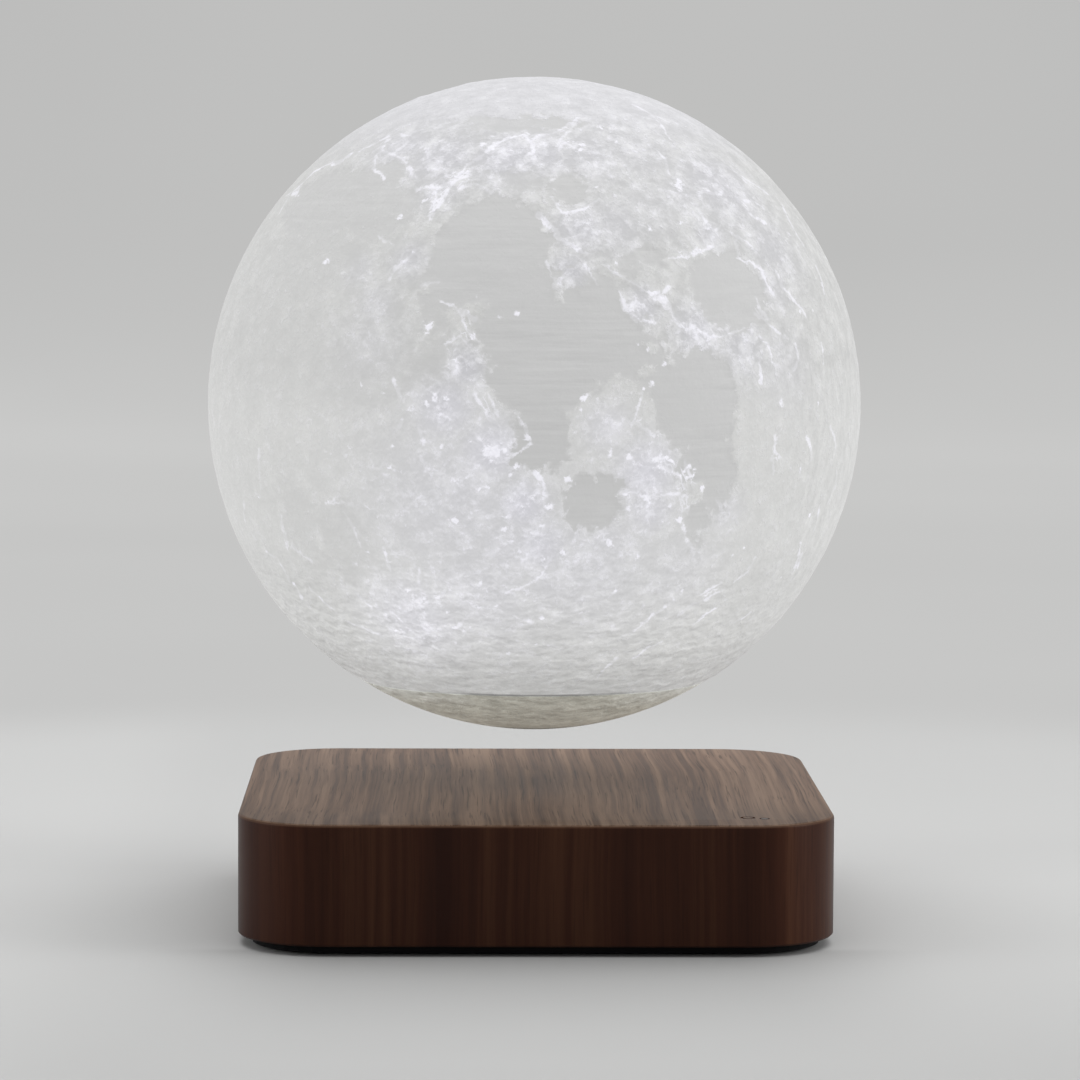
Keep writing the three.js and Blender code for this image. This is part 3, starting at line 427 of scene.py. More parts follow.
# %% The Moon's map
MOON_CENTRE = np.array((0, 0, 111))
MOON_RADIUS = 71
SEAM = -59.69
SEAM_GAP = 0.15
SEAS = {
    "serenity": [(-9.3, 30, 9.9, 9.8, 1, 1), (-15, 25, 6, 6, 1, 1), (-3, 22, 7, 6, 1, 1)],
    "vapours": [(-18.4, 10, 3.2, 4.4, 0.6, 1.6), (-19, 17, 2.4, 5, 0.75, 1.5)],
    "tranquillity": [(-3, 14, 8, 7, 1, 1), (5, 13.5, 10, 8.4, 1, 1), (12.3, 17.7, 5.6, 5.6, 1, 1),
                     (15.5, 11, 7, 4.4, 1, 1), (0.5, 6, 9, 5, 1, 1), (5, 21.5, 8, 5, 1, 1)],
    "asperity": [(0.3, -2, 4.6, 6.6, 1, 1), (-3, -5.6, 1.8, 1.6, 1, 1)],
    "fertility": [(27, 3, 8.5, 8.4, 0.95, 1), (21.5, 8, 5, 4, 0.95, 1), (29.3, -8, 6, 5.4, 0.92, 1),
                  (31.5, -12, 4, 4, 0.85, 1), (28.8, -17, 2.6, 4, 0.75, 1.3)],
    "nectar": [(9.2, -13.4, 5.3, 5, 0.95, 1)],
    "crises": [(36.6, 21.7, 7.8, 7.2, 0.88, 0.5)],
    "rains": [(-52, 38, 14, 8, 0.68, 1.2), (-39.5, 43.5, 4.6, 4.2, 0.78, 1), (-36, 36, 8, 6.5, 0.64, 1.6),
              (-48, 27, 13, 7, 0.40, 4)],
    "storms": [(-54, 15, 13, 13, 0.14, 5)],
    "islands": [(-33, 7.5, 7.5, 6, 0.36, 4)],
    "clouds": [(-48, -18, 4.6, 7.6, 0.34, 4)],
    "moisture": [(-38, -22.5, 5.4, 7.4, 0.42, 3)],
    "cold": [(-12, 58.4, 7.4, 2.3, 0.62, 1.2), (2.5, 59.2, 5, 2.1, 0.9, 0.8)],
    "sleep": [(6.5, 41.5, 3.4, 3.3, 0.95, 0.8), (-4, 43, 5.6, 2.2, 0.55, 1.6)],
    "lake": [(21.5, 28, 2.7, 2.0, 1.35, 0.8), (17.5, 26.5, 2.4, 1.4, 0.7, 1.4)],
    "far_side": [(-118, -19, 6, 6, 0.7, 2), (125, 27, 6, 5, 0.8, 1.4), (106, -20, 5, 5, 0.7, 2),
                 (168, -50, 16, 11, 0.5, 4), (141, -34, 5, 4, 0.7, 2)],
}
ISLANDS = [
    (4.6, 27.4, 2.2, 2), (6.4, 24.4, 2.6, 2.4), (3, 22.6, 1, 1.6), (-12.4, 9.5, 2.3, 4),
    (-14.2, 5, 3, 3), (17, 20.4, 2.4, 3.4), (18.8, 12.5, 1, 0.8), (22.5, 9.6, 0.9, 0.7),
    (18, 8, 0.9, 0.6), (11.2, 1.4, 5, 3), (8.2, -4, 3.2, 4.4), (-19.5, 15.4, 1.3, 1.2),
    (27.4, -11.6, 1.6, 1.5), (36.5, -14.6, 2, 3), (-8, -1.5, 3.4, 2.6),
]


def direction(longitude, latitude):
    lon, lat = np.radians(longitude), np.radians(latitude)
    return np.array((np.cos(lat) * np.sin(lon), -np.cos(lat) * np.cos(lon), np.sin(lat)))


def outside_patch(longitude, latitude, lon, lat, half_width, half_height):
    """Degrees from each point to a patch's shore, below 0 inside."""
    turn = (longitude - lon + 180) % 360 - 180
    east = turn * np.cos(np.radians(latitude))
    away = np.hypot(east / half_width, (latitude - lat) / half_height)
    return (away - 1) * min(half_width, half_height)


def sea_map(toward, ragged):
    """Distance to the nearest shore in degrees, how dark the sea is, and how soft its shore."""
    longitude = np.degrees(np.arctan2(toward[:, 0], -toward[:, 1]))
    latitude = np.degrees(np.arcsin(np.clip(toward[:, 2], -1, 1)))
    shore = np.full(len(toward), 30.0)
    weights = np.full(len(toward), 1e-9)
    darkness = weights * 0.5
    softness = weights * 2
    for patches in SEAS.values():
        for *place, dark, soft in patches:
            outside = outside_patch(longitude, latitude, *place) + ragged * (0.7 + 0.3 * soft)
            weight = np.exp(-np.clip(outside, -3, 12) / 1.2)
            weights += weight
            darkness += weight * dark
            softness += weight * soft
            shore = np.minimum(shore, outside)
    for place in ISLANDS:
        shore = np.maximum(shore, -outside_patch(longitude, latitude, *place) - ragged)
    return shore, darkness / weights, softness / weights


print(sum(len(patches) for patches in SEAS.values()), "sea patches,", len(ISLANDS), "islands")

# %% [markdown]
# The mountain ridges are short strokes, drawn on the globe: a width in degrees, a
# strength, and a chain of longitudes and latitudes. Bright marks are single fresh craters
# and peaks, as longitude, latitude, radius in degrees and strength. Ring marks are craters
# of which only the rim shows. Bright ground is where the highlands look whiter and
# slightly lilac. Noise alone would give as much detail, but never in the right places.

# %% Ridges, bright marks and bright ground
RIDGES = [
    (0.28, 0.9, [(-72, 36), (-74, 39), (-73, 41.8), (-71.2, 45.1), (-66.6, 46.6), (-60.6, 48.1)]),
    (0.28, 0.8, [(-77.8, 39.5), (-69.6, 39.7), (-72, 42.2)]),
    (0.39, 1, [(-64, 46.8), (-60.1, 47.3), (-59.5, 49.1)]),
    (0.28, 0.8, [(-55.5, 50.7), (-52.7, 52.4), (-50.1, 54.1), (-46.1, 55), (-41.6, 54.7)]),
    (0.28, 0.8, [(-49.2, 50.2), (-48.2, 52.9), (-46.8, 50.2), (-41.4, 49.4), (-40.1, 51.5)]),
    (0.32, 0.9, [(-47, 49.1), (-44.5, 46.1), (-39.9, 44)]),
    (0.28, 0.8, [(-41.4, 49.4), (-37.3, 48.6), (-33.8, 46.6), (-30.6, 44.2)]),
    (0.42, 0.9, [(-33.5, 46.1), (-31.1, 44.2)]),
    (0.45, 1, [(-27.4, 41.1), (-24.6, 41.5), (-22.3, 42), (-20.4, 43.4), (-18.6, 45.2), (-16.8, 47.7),
        (-13.9, 50), (-11.8, 52.4), (-7.9, 54.1), (-3.6, 54.7)]),
    (0.35, 0.9, [(-24.8, 42), (-23, 43.8), (-20.9, 44.8)]),
    (0.42, 1, [(-22.6, 36), (-21.5, 38.1), (-20.9, 40.7), (-19.8, 42.9), (-17.3, 44.3)]),
    (0.35, 0.9, [(-22.9, 35.6), (-22.8, 38.1), (-23.3, 40.7)]),
    (0.35, 0.8, [(-17.4, 41.6), (-14.9, 42.5), (-13.3, 41.6), (-11.3, 40.7)]),
    (0.32, 0.9, [(-3.6, 54.7), (-2.1, 51.9), (-1.5, 49.2), (-2.8, 49.8)]),
    (0.28, 0.8, [(-2.1, 53), (-0.1, 54.7), (4, 55.3), (7.4, 57.2), (12.6, 59.9)]),
    (0.28, 0.7, [(4, 50.8), (6.8, 54.2), (12.3, 59.2)]),
    (0.28, 0.9, [(2.6, 38.9), (3.4, 37.4), (4.6, 36.2), (6.9, 36.4), (9.7, 37.2), (12.1, 38.7)]),
    (0.28, 0.7, [(8.8, 51.7), (6.8, 52.8), (4.5, 50.3)]),
    (0.45, 1, [(-0.2, 35.6), (1.2, 34.2), (2.8, 32.6), (3.5, 31.1), (6.1, 29.9), (7.9, 28.8)]),
    (0.28, 0.8, [(8.4, 25.9), (9.7, 23.6)]), (0.28, 0.9, [(12.2, 25.9), (13.9, 24.6), (15.7, 23.7)]),
    (0.32, 1, [(15.7, 23.7), (18.5, 22.1), (20.2, 21.1)]),
    (0.79, 1.1, [(20.6, 20.9), (22, 20.4), (22.7, 18.8), (23.5, 17.1)]),
    (0.35, 0.9, [(21.7, 20.9), (23.1, 22.1)]), (0.42, 0.9, [(23.5, 17.1), (25.2, 15.7), (27.7, 14)]),
    (0.28, 0.9, [(27.5, 15.4), (30.1, 13.8), (33.9, 13.9), (37.4, 14.9)]),
    (0.28, 0.8, [(14.2, 20.9), (14.9, 18.5), (16.7, 16.8), (19.4, 16.4)]),
    (0.28, 0.8, [(15.1, 18.5), (17.1, 20.2), (19.1, 18.2)]),
    (0.32, 0.9, [(44.9, 65.1), (45.7, 62.3), (49.3, 59.9)]),
    (0.28, 0.9, [(45.7, 62.3), (43.9, 58.2), (41.8, 54.5)]),
    (0.28, 0.8, [(33.1, 50.5), (33.9, 48.4), (32.8, 45.5)]),
    (0.35, 0.8, [(30.2, 40.9), (34.3, 40), (38.2, 40)]), (0.39, 0.9, [(38, 40.5), (45.1, 40.7)]),
    (0.28, 0.8, [(50.1, 47.5), (55.8, 46.5), (57.6, 43.7)]),
    (0.28, 0.7, [(54.8, 47), (58.5, 44.1), (64.4, 40.9)]),
    (0.35, 0.9, [(49.4, 39.2), (50.2, 36.8), (51.3, 35.4), (53.8, 34.5)]),
    (0.28, 0.8, [(52.3, 38.7), (55.3, 38.5), (56.7, 37.6)]),
    (0.28, 0.9, [(40.8, 32.8), (43.6, 31), (45.8, 29.8), (46.7, 28.5)]),
    (0.28, 0.8, [(41.8, 29.9), (41.3, 28), (42.9, 26.8)]),
    (0.32, 1, [(25.6, 27.7), (28.7, 27.9), (31.7, 28.6), (34.9, 29.5)]),
    (0.28, 0.8, [(28.5, 29.9), (28.8, 28.1), (31, 29.2)]),
    (0.28, 0.8, [(36.1, 35), (36.5, 32.4), (39.2, 33.8)]), (0.35, 0.9, [(43.5, 27), (45.8, 25.5)]),
    (0.28, 0.9, [(46, 24.8), (45.9, 23), (46.8, 21.3)]),
    (0.28, 0.8, [(50.3, 24.4), (50.6, 21.6), (53.3, 19.4), (55.6, 17.3)]),
    (0.28, 0.8, [(68.3, 37.4), (66, 35.1), (66.1, 31.8), (66.1, 29.6)]),
    (0.39, 1, [(42.7, 19.8), (43, 17.9), (44, 16.8)]),
    (0.28, 0.8, [(42, 17.2), (45, 15.1), (47.8, 13.3)]),
    (0.28, 0.9, [(41.9, 13.1), (43.1, 11.5), (43.3, 9.8)]),
    (0.28, 0.9, [(50.4, 11.3), (50.5, 9.3), (49.1, 8)]), (0.39, 1, [(40.4, 8.4), (40.6, 6.5)]),
    (0.28, 0.9, [(67.6, 25), (67.3, 23), (66.5, 21.3)]), (0.28, 0.8, [(59.3, 11.6), (58.8, 9.2)]),
    (0.28, 0.9, [(78.8, 28.3)]), (0.28, 0.9, [(43.7, -3.9), (43.9, -5.8), (45, -6.5)]),
    (0.28, 1, [(43.4, -7.5), (43.8, -8.9)]), (0.32, 0.9, [(52.8, -4.1), (54.4, -5.7), (54.6, -7)]),
    (0.28, 0.8, [(60.8, -2.5), (62.9, -4.6), (63.3, -6)]),
    (0.28, 0.9, [(65.9, -10.9), (66.6, -13.6), (66.3, -15.3)]), (0.32, 1, [(66, -13.5), (65.2, -15.3)]),
    (0.28, 0.8, [(61.6, -16.8), (62.3, -19.4), (62.3, -20.6)]),
    (0.28, 0.8, [(58.5, -23.1), (60.5, -26.2), (61.2, -28.4)]),
    (0.28, 0.8, [(61.1, -25.4), (62, -27.8)]), (0.28, 0.8, [(42, -28.8), (43.9, -27.4), (44.5, -25.5)]),
    (0.39, 0.8, [(34.4, -31.3), (35.9, -30.3), (37.1, -29.6)]),
    (0.32, 0.8, [(30.1, -35.8), (32.1, -33.7), (35, -32.6), (38.4, -31.1)]),
    (0.28, 0.9, [(36.3, -37.4), (37.5, -35.9), (39.1, -34.9)]),
    (0.28, 0.8, [(49, -37.9), (51.6, -36.9)]),
    (0.28, 0.9, [(21.5, -38.1), (23.5, -35.9), (25.7, -34.2)]),
    (0.28, 0.7, [(24.6, -45.2), (26.2, -43.2), (28.4, -42.2)]),
    (0.28, 0.7, [(16.4, -51.2), (17.4, -48.2), (19.2, -46)]),
    (0.28, 0.8, [(-5.4, -30), (-2.4, -28.8), (0.4, -26.4), (1.8, -23.9)]),
    (0.32, 0.8, [(-4.5, -35.1), (-2, -36.4)]), (0.28, 0.8, [(-17.5, -37.6), (-14.5, -35.7)]),
    (0.28, 0.6, [(-24.3, -33.7), (-22.2, -32.1), (-19.8, -31.2)]),
    (0.32, 0.5, [(-25, -33.1), (-23.3, -30.1), (-22.6, -26.9)]),
    (0.32, 0.5, [(-25.9, -33.1), (-26.9, -30.7), (-27.9, -29.5)]),
    (0.28, 0.8, [(-37.9, -32.3), (-36.7, -33.9)]),
    (0.28, 0.8, [(-44.3, -38.7), (-41.2, -39.4), (-38, -40.6)]),
    (0.28, 0.8, [(-51.4, -31.8), (-50.1, -33.4), (-48.3, -35.2)]),
    (0.28, 0.7, [(-58.8, -30.3), (-56.7, -31.4), (-57.4, -33.5)]),
    (0.28, 0.7, [(-58.8, -26.7), (-58.7, -28.7), (-58.3, -30.7)]),
    (0.42, 0.40, [(-52.6, -18.4), (-53.1, -20.6), (-53.7, -23.3)]),
    (0.45, 0.40, [(-51.3, -23.5), (-49.7, -24.9), (-48.3, -25.6)]),
    (0.28, 0.8, [(-62.2, -25), (-59.8, -26)]),
    (0.32, 0.45, [(-55.9, -6.7), (-56.3, -9.8), (-57.5, -14)]),
    (0.28, 0.6, [(-65.7, -16.4), (-67.4, -19)]), (0.35, 0.9, [(-10.3, 3.8), (-9.6, 2.7), (-8.6, 0.9)]),
    (0.28, 0.7, [(-8.3, 3.8), (-7.2, 1.6)]), (0.39, 0.9, [(-3.3, 0.1), (-2.5, -1), (-2.3, -2.3)]),
    (0.28, 0.8, [(-5.3, -5.8), (-3.6, -5), (-2.3, -4.1)]),
    (0.35, 0.9, [(-0.6, -8.8), (0.4, -9.8), (0.9, -11.6)]),
    (0.28, 0.9, [(15.3, 0.1), (16, 2.2), (16.7, 3.9)]),
    (0.32, 0.8, [(16, -0.2), (17.7, -1.4), (18.6, -2.1)]),
    (0.42, 1, [(19.3, -6.4), (20.4, -5.9), (21.5, -6.3)]),
    (0.28, 0.8, [(17.6, -7.4), (20.1, -7.8), (22.3, -8.3), (24.3, -9.4), (25.2, -11.3)]),
    (0.28, 0.8, [(15, -11.7), (17.4, -12.6), (19.4, -12.5)]),
    (0.28, 0.7, [(21.6, -12.2), (24.6, -12.1), (25, -14.2), (25.1, -15.8)]),
    (0.28, 0.7, [(25.9, -13.4), (26.1, -15.1)]),
    (0.28, 0.8, [(25.8, -17.6), (27.8, -21.4), (29.7, -24.3)]),
    (0.28, 0.8, [(25.2, -7.5), (26.1, -8.9)]), (0.32, 0.8, [(32.5, -14.3), (33.4, -15.4)]),
    (0.28, 0.9, [(5.8, -20.2), (6.6, -18.3)]),
    (0.28, 0.5, [(-23, -14.8), (-21.4, -13.4), (-19.4, -12.1)]),
    (0.28, 0.8, [(-20, -6.7), (-19.6, -8.2), (-18.3, -8.2)]),
    (0.28, 0.8, [(-17, 19.6), (-15.5, 19.2), (-13.9, 17.7), (-13.1, 15.7), (-12, 14.4)]),
    (0.45, 0.9, [(-14.3, 18.2), (-12.9, 17.7), (-11.8, 17.1)]),
    (0.28, 0.6, [(-15.7, 13.1), (-14, 13.7), (-12.6, 12.7)]),
    (0.28, 0.6, [(-28.2, 24.2), (-27.4, 25.8), (-26, 26.7), (-24.7, 28.2)]),
    (0.28, 0.5, [(-32.7, 31.2), (-30, 30.1)]), (0.28, 0.6, [(-21.2, 22.8), (-19.3, 23.2)]),
    (0.32, 0.8, [(-24.7, 6), (-24.1, 4.6)]), (0.28, 0.8, [(-20.1, -1.9), (-19.7, -3.2)]),
    (0.28, 0.6, [(-23.6, -0.7), (-24.4, -2)]), (0.35, 0.9, [(-29.1, -23), (-28.9, -25.6)]),
    (0.28, 0.5, [(-36.1, -16.6), (-34.8, -18.8), (-34.4, -21.9)]),
    (0.28, 0.6, [(-39.2, -14.6), (-35.6, -14.3), (-33.5, -14.5)]),
    (0.28, 0.6, [(1.4, 26.6), (2.1, 24.4), (3.2, 23.4)]),
]
BRIGHT_MARKS = [
    (-30, 35.6, 0.59, 1.1), (-25.4, 38.7, 0.59, 1.0), (-25.8, 43.1, 0.39, 0.8), (-44.3, 26.3, 0.7, 0.8),
    (-37.2, 35.5, 0.35, 0.5), (-24.7, 28.2, 0.61, 0.5), (-19.5, 15.6, 1.22, 0.75),
    (-11.8, 14, 0.56, 0.9), (-10.3, 14.9, 0.35, 0.7), (-7.1, 17.8, 0.7, 0.5), (-4.4, 17.8, 0.45, 1.1),
    (-11.7, 20.8, 0.7, 0.4), (-14.8, 10, 1.4, 0.45), (-12.4, 8.7, 1.22, 0.45), (-15.7, 52.1, 0.45, 1.1),
    (-13.8, 54.4, 0.35, 0.9), (1.3, 50.3, 0.45, 0.9), (0.5, 47, 0.52, 1.0), (2.8, 41.2, 0.42, 0.6),
    (8.7, 42.1, 0.35, 0.5), (12.3, 41.7, 0.45, 0.9), (22.4, 53.1, 0.56, 1.0), (19.7, 57.3, 0.7, 0.5),
    (33.8, 42.2, 1.22, 1.15), (29.8, 34.4, 0.52, 1.1), (22.1, 33.4, 0.88, 0.6), (36.3, 33.4, 0.7, 0.7),
    (14, 27, 0.88, 0.6), (53.4, 58.9, 0.52, 0.9), (56.9, 57.7, 0.42, 0.8), (61.8, 31.9, 0.88, 0.6),
    (31.8, 28.8, 0.59, 0.9), (58.7, 17.6, 0.35, 0.5), (54.3, 17.5, 0.42, 0.9), (-31.3, 5.5, 0.52, 1.1),
    (-27, 4.2, 0.45, 0.9), (-17.7, 3.7, 0.79, 0.9), (-15.6, 3.4, 0.63, 0.8), (-19.1, 2.7, 0.52, 0.9),
    (-21.8, 1.5, 0.42, 1.1), (-23.1, 0.1, 0.35, 1.0), (-7.7, -5, 1.4, 1.05), (-9.2, -5.5, 0.7, 0.9),
    (-11.6, -3.2, 0.52, 0.9), (-16.5, -4.2, 0.39, 1.0), (-25.3, -4.7, 0.35, 0.8),
    (-8.6, -0.9, 0.35, 0.9), (-25.9, -7.9, 0.39, 0.8), (-23.9, -8.7, 0.56, 0.7),
    (-10.4, -11.1, 0.45, 0.9), (-8.5, -11.2, 0.42, 1.0), (-12.3, -9.2, 0.39, 0.9),
    (-13.9, -10.3, 0.45, 0.7), (-2.1, -13, 1.05, 0.75), (-2.8, -14.4, 0.52, 0.9), (1.6, -14, 1.05, 0.6),
    (0.3, -17.5, 0.7, 0.7), (-6.1, -18.3, 0.49, 1.0), (-6.1, -16.2, 0.52, 0.6), (1.3, -23.7, 0.7, 0.8),
    (3.9, -22.3, 0.63, 1.0), (-15, -17, 0.63, 1.15), (-14.7, -22.1, 0.39, 0.9),
    (-11.1, -28.3, 0.42, 1.1), (-5.1, -8.6, 0.45, 0.9), (-4, -7.3, 0.52, 0.8), (0.4, -10.8, 0.52, 0.8),
    (4.7, -9.4, 0.59, 1.15), (7.2, 4.1, 0.59, 1.0), (9.4, 3.7, 0.52, 0.7), (6.7, 2, 0.56, 0.9),
    (18.5, 6, 0.42, 1.0), (17.2, 5.2, 0.24, 0.9), (11.6, -4.8, 0.63, 0.9), (14.7, -5.8, 0.63, 1.15),
    (17.1, -7.5, 0.63, 0.9), (18.3, -12.8, 0.7, 0.9), (14.5, -12.1, 0.45, 0.8),
    (15.3, -14.5, 0.52, 0.6), (25.2, -16.7, 0.52, 1.2), (12.6, -20.7, 0.66, 1.1),
    (9.9, -24.4, 0.42, 0.9), (18, -23.2, 0.42, 0.9), (13, -29.1, 0.35, 0.8), (14.7, -30.1, 0.42, 0.9),
    (18.3, 11.8, 0.52, 0.8), (16.4, 12.9, 0.35, 0.6), (21.2, 9.4, 0.7, 0.5), (19, 6, 0.35, 1.0),
    (18.7, -3.9, 0.52, 0.6), (28.6, -30.4, 0.52, 1.0), (40.8, -32.9, 0.35, 0.8),
    (26.7, -10.8, 0.7, 0.6), (28.8, -11.7, 0.7, 0.6), (45.5, 2.4, 0.52, 1.0), (55.8, 1.8, 0.39, 1.0),
    (39, -5.3, 1.57, 0.38), (36.3, -7, 0.88, 0.35), (51.4, -9.2, 0.39, 1.0), (46.9, -10.7, 0.52, 0.4),
    (58.3, -17.5, 0.35, 1.0), (56.8, -29.5, 0.35, 1.1), (47.3, -7.6, 0.35, 0.3), (38, -23.9, 0.52, 0.7),
    (40.9, -23, 0.42, 0.9), (44, 1.3, 0.35, 0.6), (-37.7, -6.8, 1.4, 0.42), (-33.2, -5, 0.7, 0.5),
    (-42.8, -14.3, 0.7, 0.4), (-39.1, -14.2, 0.45, 0.9), (-45.4, -21.2, 0.35, 0.8),
    (-32.8, -23.3, 0.42, 0.9), (-33.6, -26, 0.42, 0.9), (-36.5, -25.6, 0.45, 0.7),
    (-28.7, -24.8, 0.45, 0.9), (-35.1, -11.3, 0.52, 0.5), (-57.3, -30.8, 0.59, 0.8),
    (-58.4, -14.5, 0.52, 0.5), (-26, -30.6, 0.88, 0.5), (-24.8, -32.2, 1.22, 0.4),
    (-30.1, -36.8, 1.22, 0.5), (-31.7, -33.8, 0.7, 0.6), (-20.3, -31.2, 0.52, 0.6),
    (-32.5, -39.7, 1.05, 0.4), (-29.1, -17.1, 0.7, 0.5), (-30.7, -15.1, 0.88, 0.45),
    (-23.8, -18.4, 0.88, 0.45), (-28.5, 9.4, 0.88, 0.35), (-51, 9.1, 0.88, 0.25),
    (-56.2, 14.1, 0.88, 0.25), (-18.9, -34.5, 0.39, 0.8), (-4.7, -40.6, 0.42, 0.6),
    (-6.6, -44.1, 0.42, 0.7), (-8.4, -33, 0.42, 0.8), (-11, -33.2, 0.35, 0.8), (0.6, -35.5, 0.42, 0.8),
    (17.1, -47.3, 0.42, 0.7), (27.7, -32.2, 0.42, 0.7), (-0.3, -41.8, 0.35, 0.6),
    (27.8, -41.2, 0.35, 0.6), (-45, -47.8, 0.42, 0.4), (-44.9, -0.7, 1.05, 0.2),
    (-40.7, 0.8, 0.7, 0.35),
]
RING_MARKS = [(9.7, 52, 1.3), (26, -8.6, 1.1), (21.5, -7.6, 1.3)]
BRIGHT_GROUND = [
    (-16, 2, 6, 0.85), (-8, -5, 6, 0.95), (-14, -12, 8, 0.6), (-3, -14, 5, 1.0), (0, -21, 6, 0.85),
    (-6, -21, 8, 0.6), (2, -28, 8, 0.5), (-22, -12, 7, 0.4), (18, -8.5, 6, 0.95), (11, -1, 4.5, 0.6),
    (19, -15, 5, 0.75), (11, -21, 6, 0.55), (8, 33, 5, 0.7), (15, 34, 7, 0.5), (24, 38, 9, 0.35),
    (33, 40, 6, 0.5), (12, 50, 9, 0.6), (26, 52, 11, 0.5), (-8, 49, 8, 0.85), (-25, 49, 8, 0.75),
    (-40, 52, 7, 0.7), (0, 50, 7, 0.8), (-23, 41, 5, 0.6), (46, 42, 10, 0.7), (52, 30, 8, 0.5),
    (36, 32, 4, 0.6), (48, 22, 5, 0.45), (18, 19, 3.5, 0.7), (28, 14.5, 5, 0.75), (37, 12, 6, 0.55),
    (46, 9, 7, 0.35), (-25, 27, 3.5, 0.55), (-35.5, 25, 3, 0.4), (-30, 19, 4, 0.4), (-12.6, 8.6, 4, 0.75),
    (-26, -36, 10, 0.72), (34, -16, 4, 0.4), (5.5, 25.5, 3.6, 0.7), (-14, -14, 17, 0.55), (8, -24, 15, 0.5),
    (-12, -30, 13, 0.55), (26, -26, 10, 0.35), (-30, 12, 7, 0.3),
]
print(len(RIDGES), "ridges,", len(BRIGHT_MARKS), "bright marks,", len(BRIGHT_GROUND), "bright grounds")

# %% [markdown]
# Craters come in all sizes: many small ones, few large ones. Their places are drawn from a
# seeded list, so that every run gives the same globe. Each one presses a bowl into the
# ground and raises a rim round it. Dividing by the root of an even draw gives the right
# mix of sizes.

# %% Craters
CRATER_COUNT = 1700
CRATER_LEAST = 0.55
CRATER_MOST = 6.5
FULL_DEPTH_FROM = 2.5
RIM_HEIGHT = 0.55
RIM_WIDTH = 0.22


def crater_relief(toward, land):
    """How far each point lies under its ground, below 0 in bowls, and how much rim it is."""
    draw = np.random.default_rng(41)
    bowls = np.zeros(len(toward))
    rims = np.zeros(len(toward))
    places = draw.normal(size=(CRATER_COUNT, 3))
    places /= np.linalg.norm(places, axis=1, keepdims=True)
    rarest = (CRATER_LEAST / CRATER_MOST) ** 2
    reaches = CRATER_LEAST / np.sqrt(draw.uniform(rarest, 1, CRATER_COUNT))
    freshness = draw.uniform(0.3, 1, CRATER_COUNT)
    for place, reach, fresh in zip(places, reaches, freshness):
        near = toward @ place
        chosen = np.nonzero(near > math.cos(math.radians(reach * 1.8)))[0]
        away = np.degrees(np.arccos(np.clip(near[chosen], -1, 1))) / reach
        size = min(reach, FULL_DEPTH_FROM) / FULL_DEPTH_FROM
        bowls[chosen] -= fresh * size * np.clip(1 - away ** 2, 0, 1) * land[chosen]
        ridge = np.exp(-((away - 1) / RIM_WIDTH) ** 2)
        bowls[chosen] += fresh * size * RIM_HEIGHT * ridge * land[chosen]
        rims[chosen] = np.maximum(rims[chosen], fresh * ridge)
    return bowls, rims


# %% [markdown]
# To draw the lists on the globe, every point asks how near it is: to the nearest stroke,
# mark or ring. Distances on a sphere are angles, which the arc cosine of a dot product
# gives. For a stroke the sign says on which side the point lies. The finish needs that to
# push the line sideways.

# %% Distances to ridges, marks and rings
def ridges_on(toward):
    """Degrees to the nearest ridge, with its side, its width and its strength."""
    near = np.full(len(toward), 3.0)
    side = np.full(len(toward), 3.0)
    width = np.full(len(toward), 0.3)
    bold = np.full(len(toward), 0.5)
    for reach, strength, chain in RIDGES:
        for start, end in itertools.pairwise(direction(*place) for place in chain):
            run = end - start
            length = np.linalg.norm(run)
            middle = (start + end) / np.linalg.norm(start + end)
            around = np.nonzero(toward @ middle > math.cos(length / 2 + math.radians(3)))[0]
            offset = toward[around] - start
            share = np.clip(offset @ run / length ** 2, 0, 1)
            away = np.degrees(np.linalg.norm(offset - share[:, None] * run, axis=1))
            closer = away < near[around]
            across = np.degrees(offset @ np.cross(run, middle) / length)
            chosen = around[closer]
            near[chosen], side[chosen] = away[closer], across[closer]
            width[chosen], bold[chosen] = reach, strength
    return near, side, width, bold


def degrees_from(toward, lon, lat):
    return np.degrees(np.arccos(np.clip(toward @ direction(lon, lat), -1, 1)))


def marks_on(toward, marks, power):
    total = np.zeros(len(toward))
    for lon, lat, reach, amount in marks:
        away = degrees_from(toward, lon, lat) / reach
        total = np.maximum(total, amount * np.exp(-away ** power))
    return total


def far_marks(count):
    """Fresh craters of the far side, as (longitude, latitude, radius, strength)."""
    draw = np.random.default_rng(23)
    longitudes = draw.uniform(80, 280, count)
    latitudes = np.degrees(np.arcsin(draw.uniform(-0.8, 0.95, count)))
    radii, strengths = draw.uniform(0.5, 1.5, count), draw.uniform(0.6, 1.0, count)
    return list(zip(longitudes, latitudes, radii, strengths))


def rings_on(toward):
    total = np.zeros(len(toward))
    for lon, lat, reach in RING_MARKS:
        off_ring = degrees_from(toward, lon, lat) - reach
        total = np.maximum(total, 0.7 * np.exp(-(off_ring / 0.4) ** 2))
    return total


# %% [markdown]
# The globe starts as an icosphere, whose triangles are all alike. A sphere made of rings
# would crowd its points at the poles and show a star there. It is cut level at the seam.

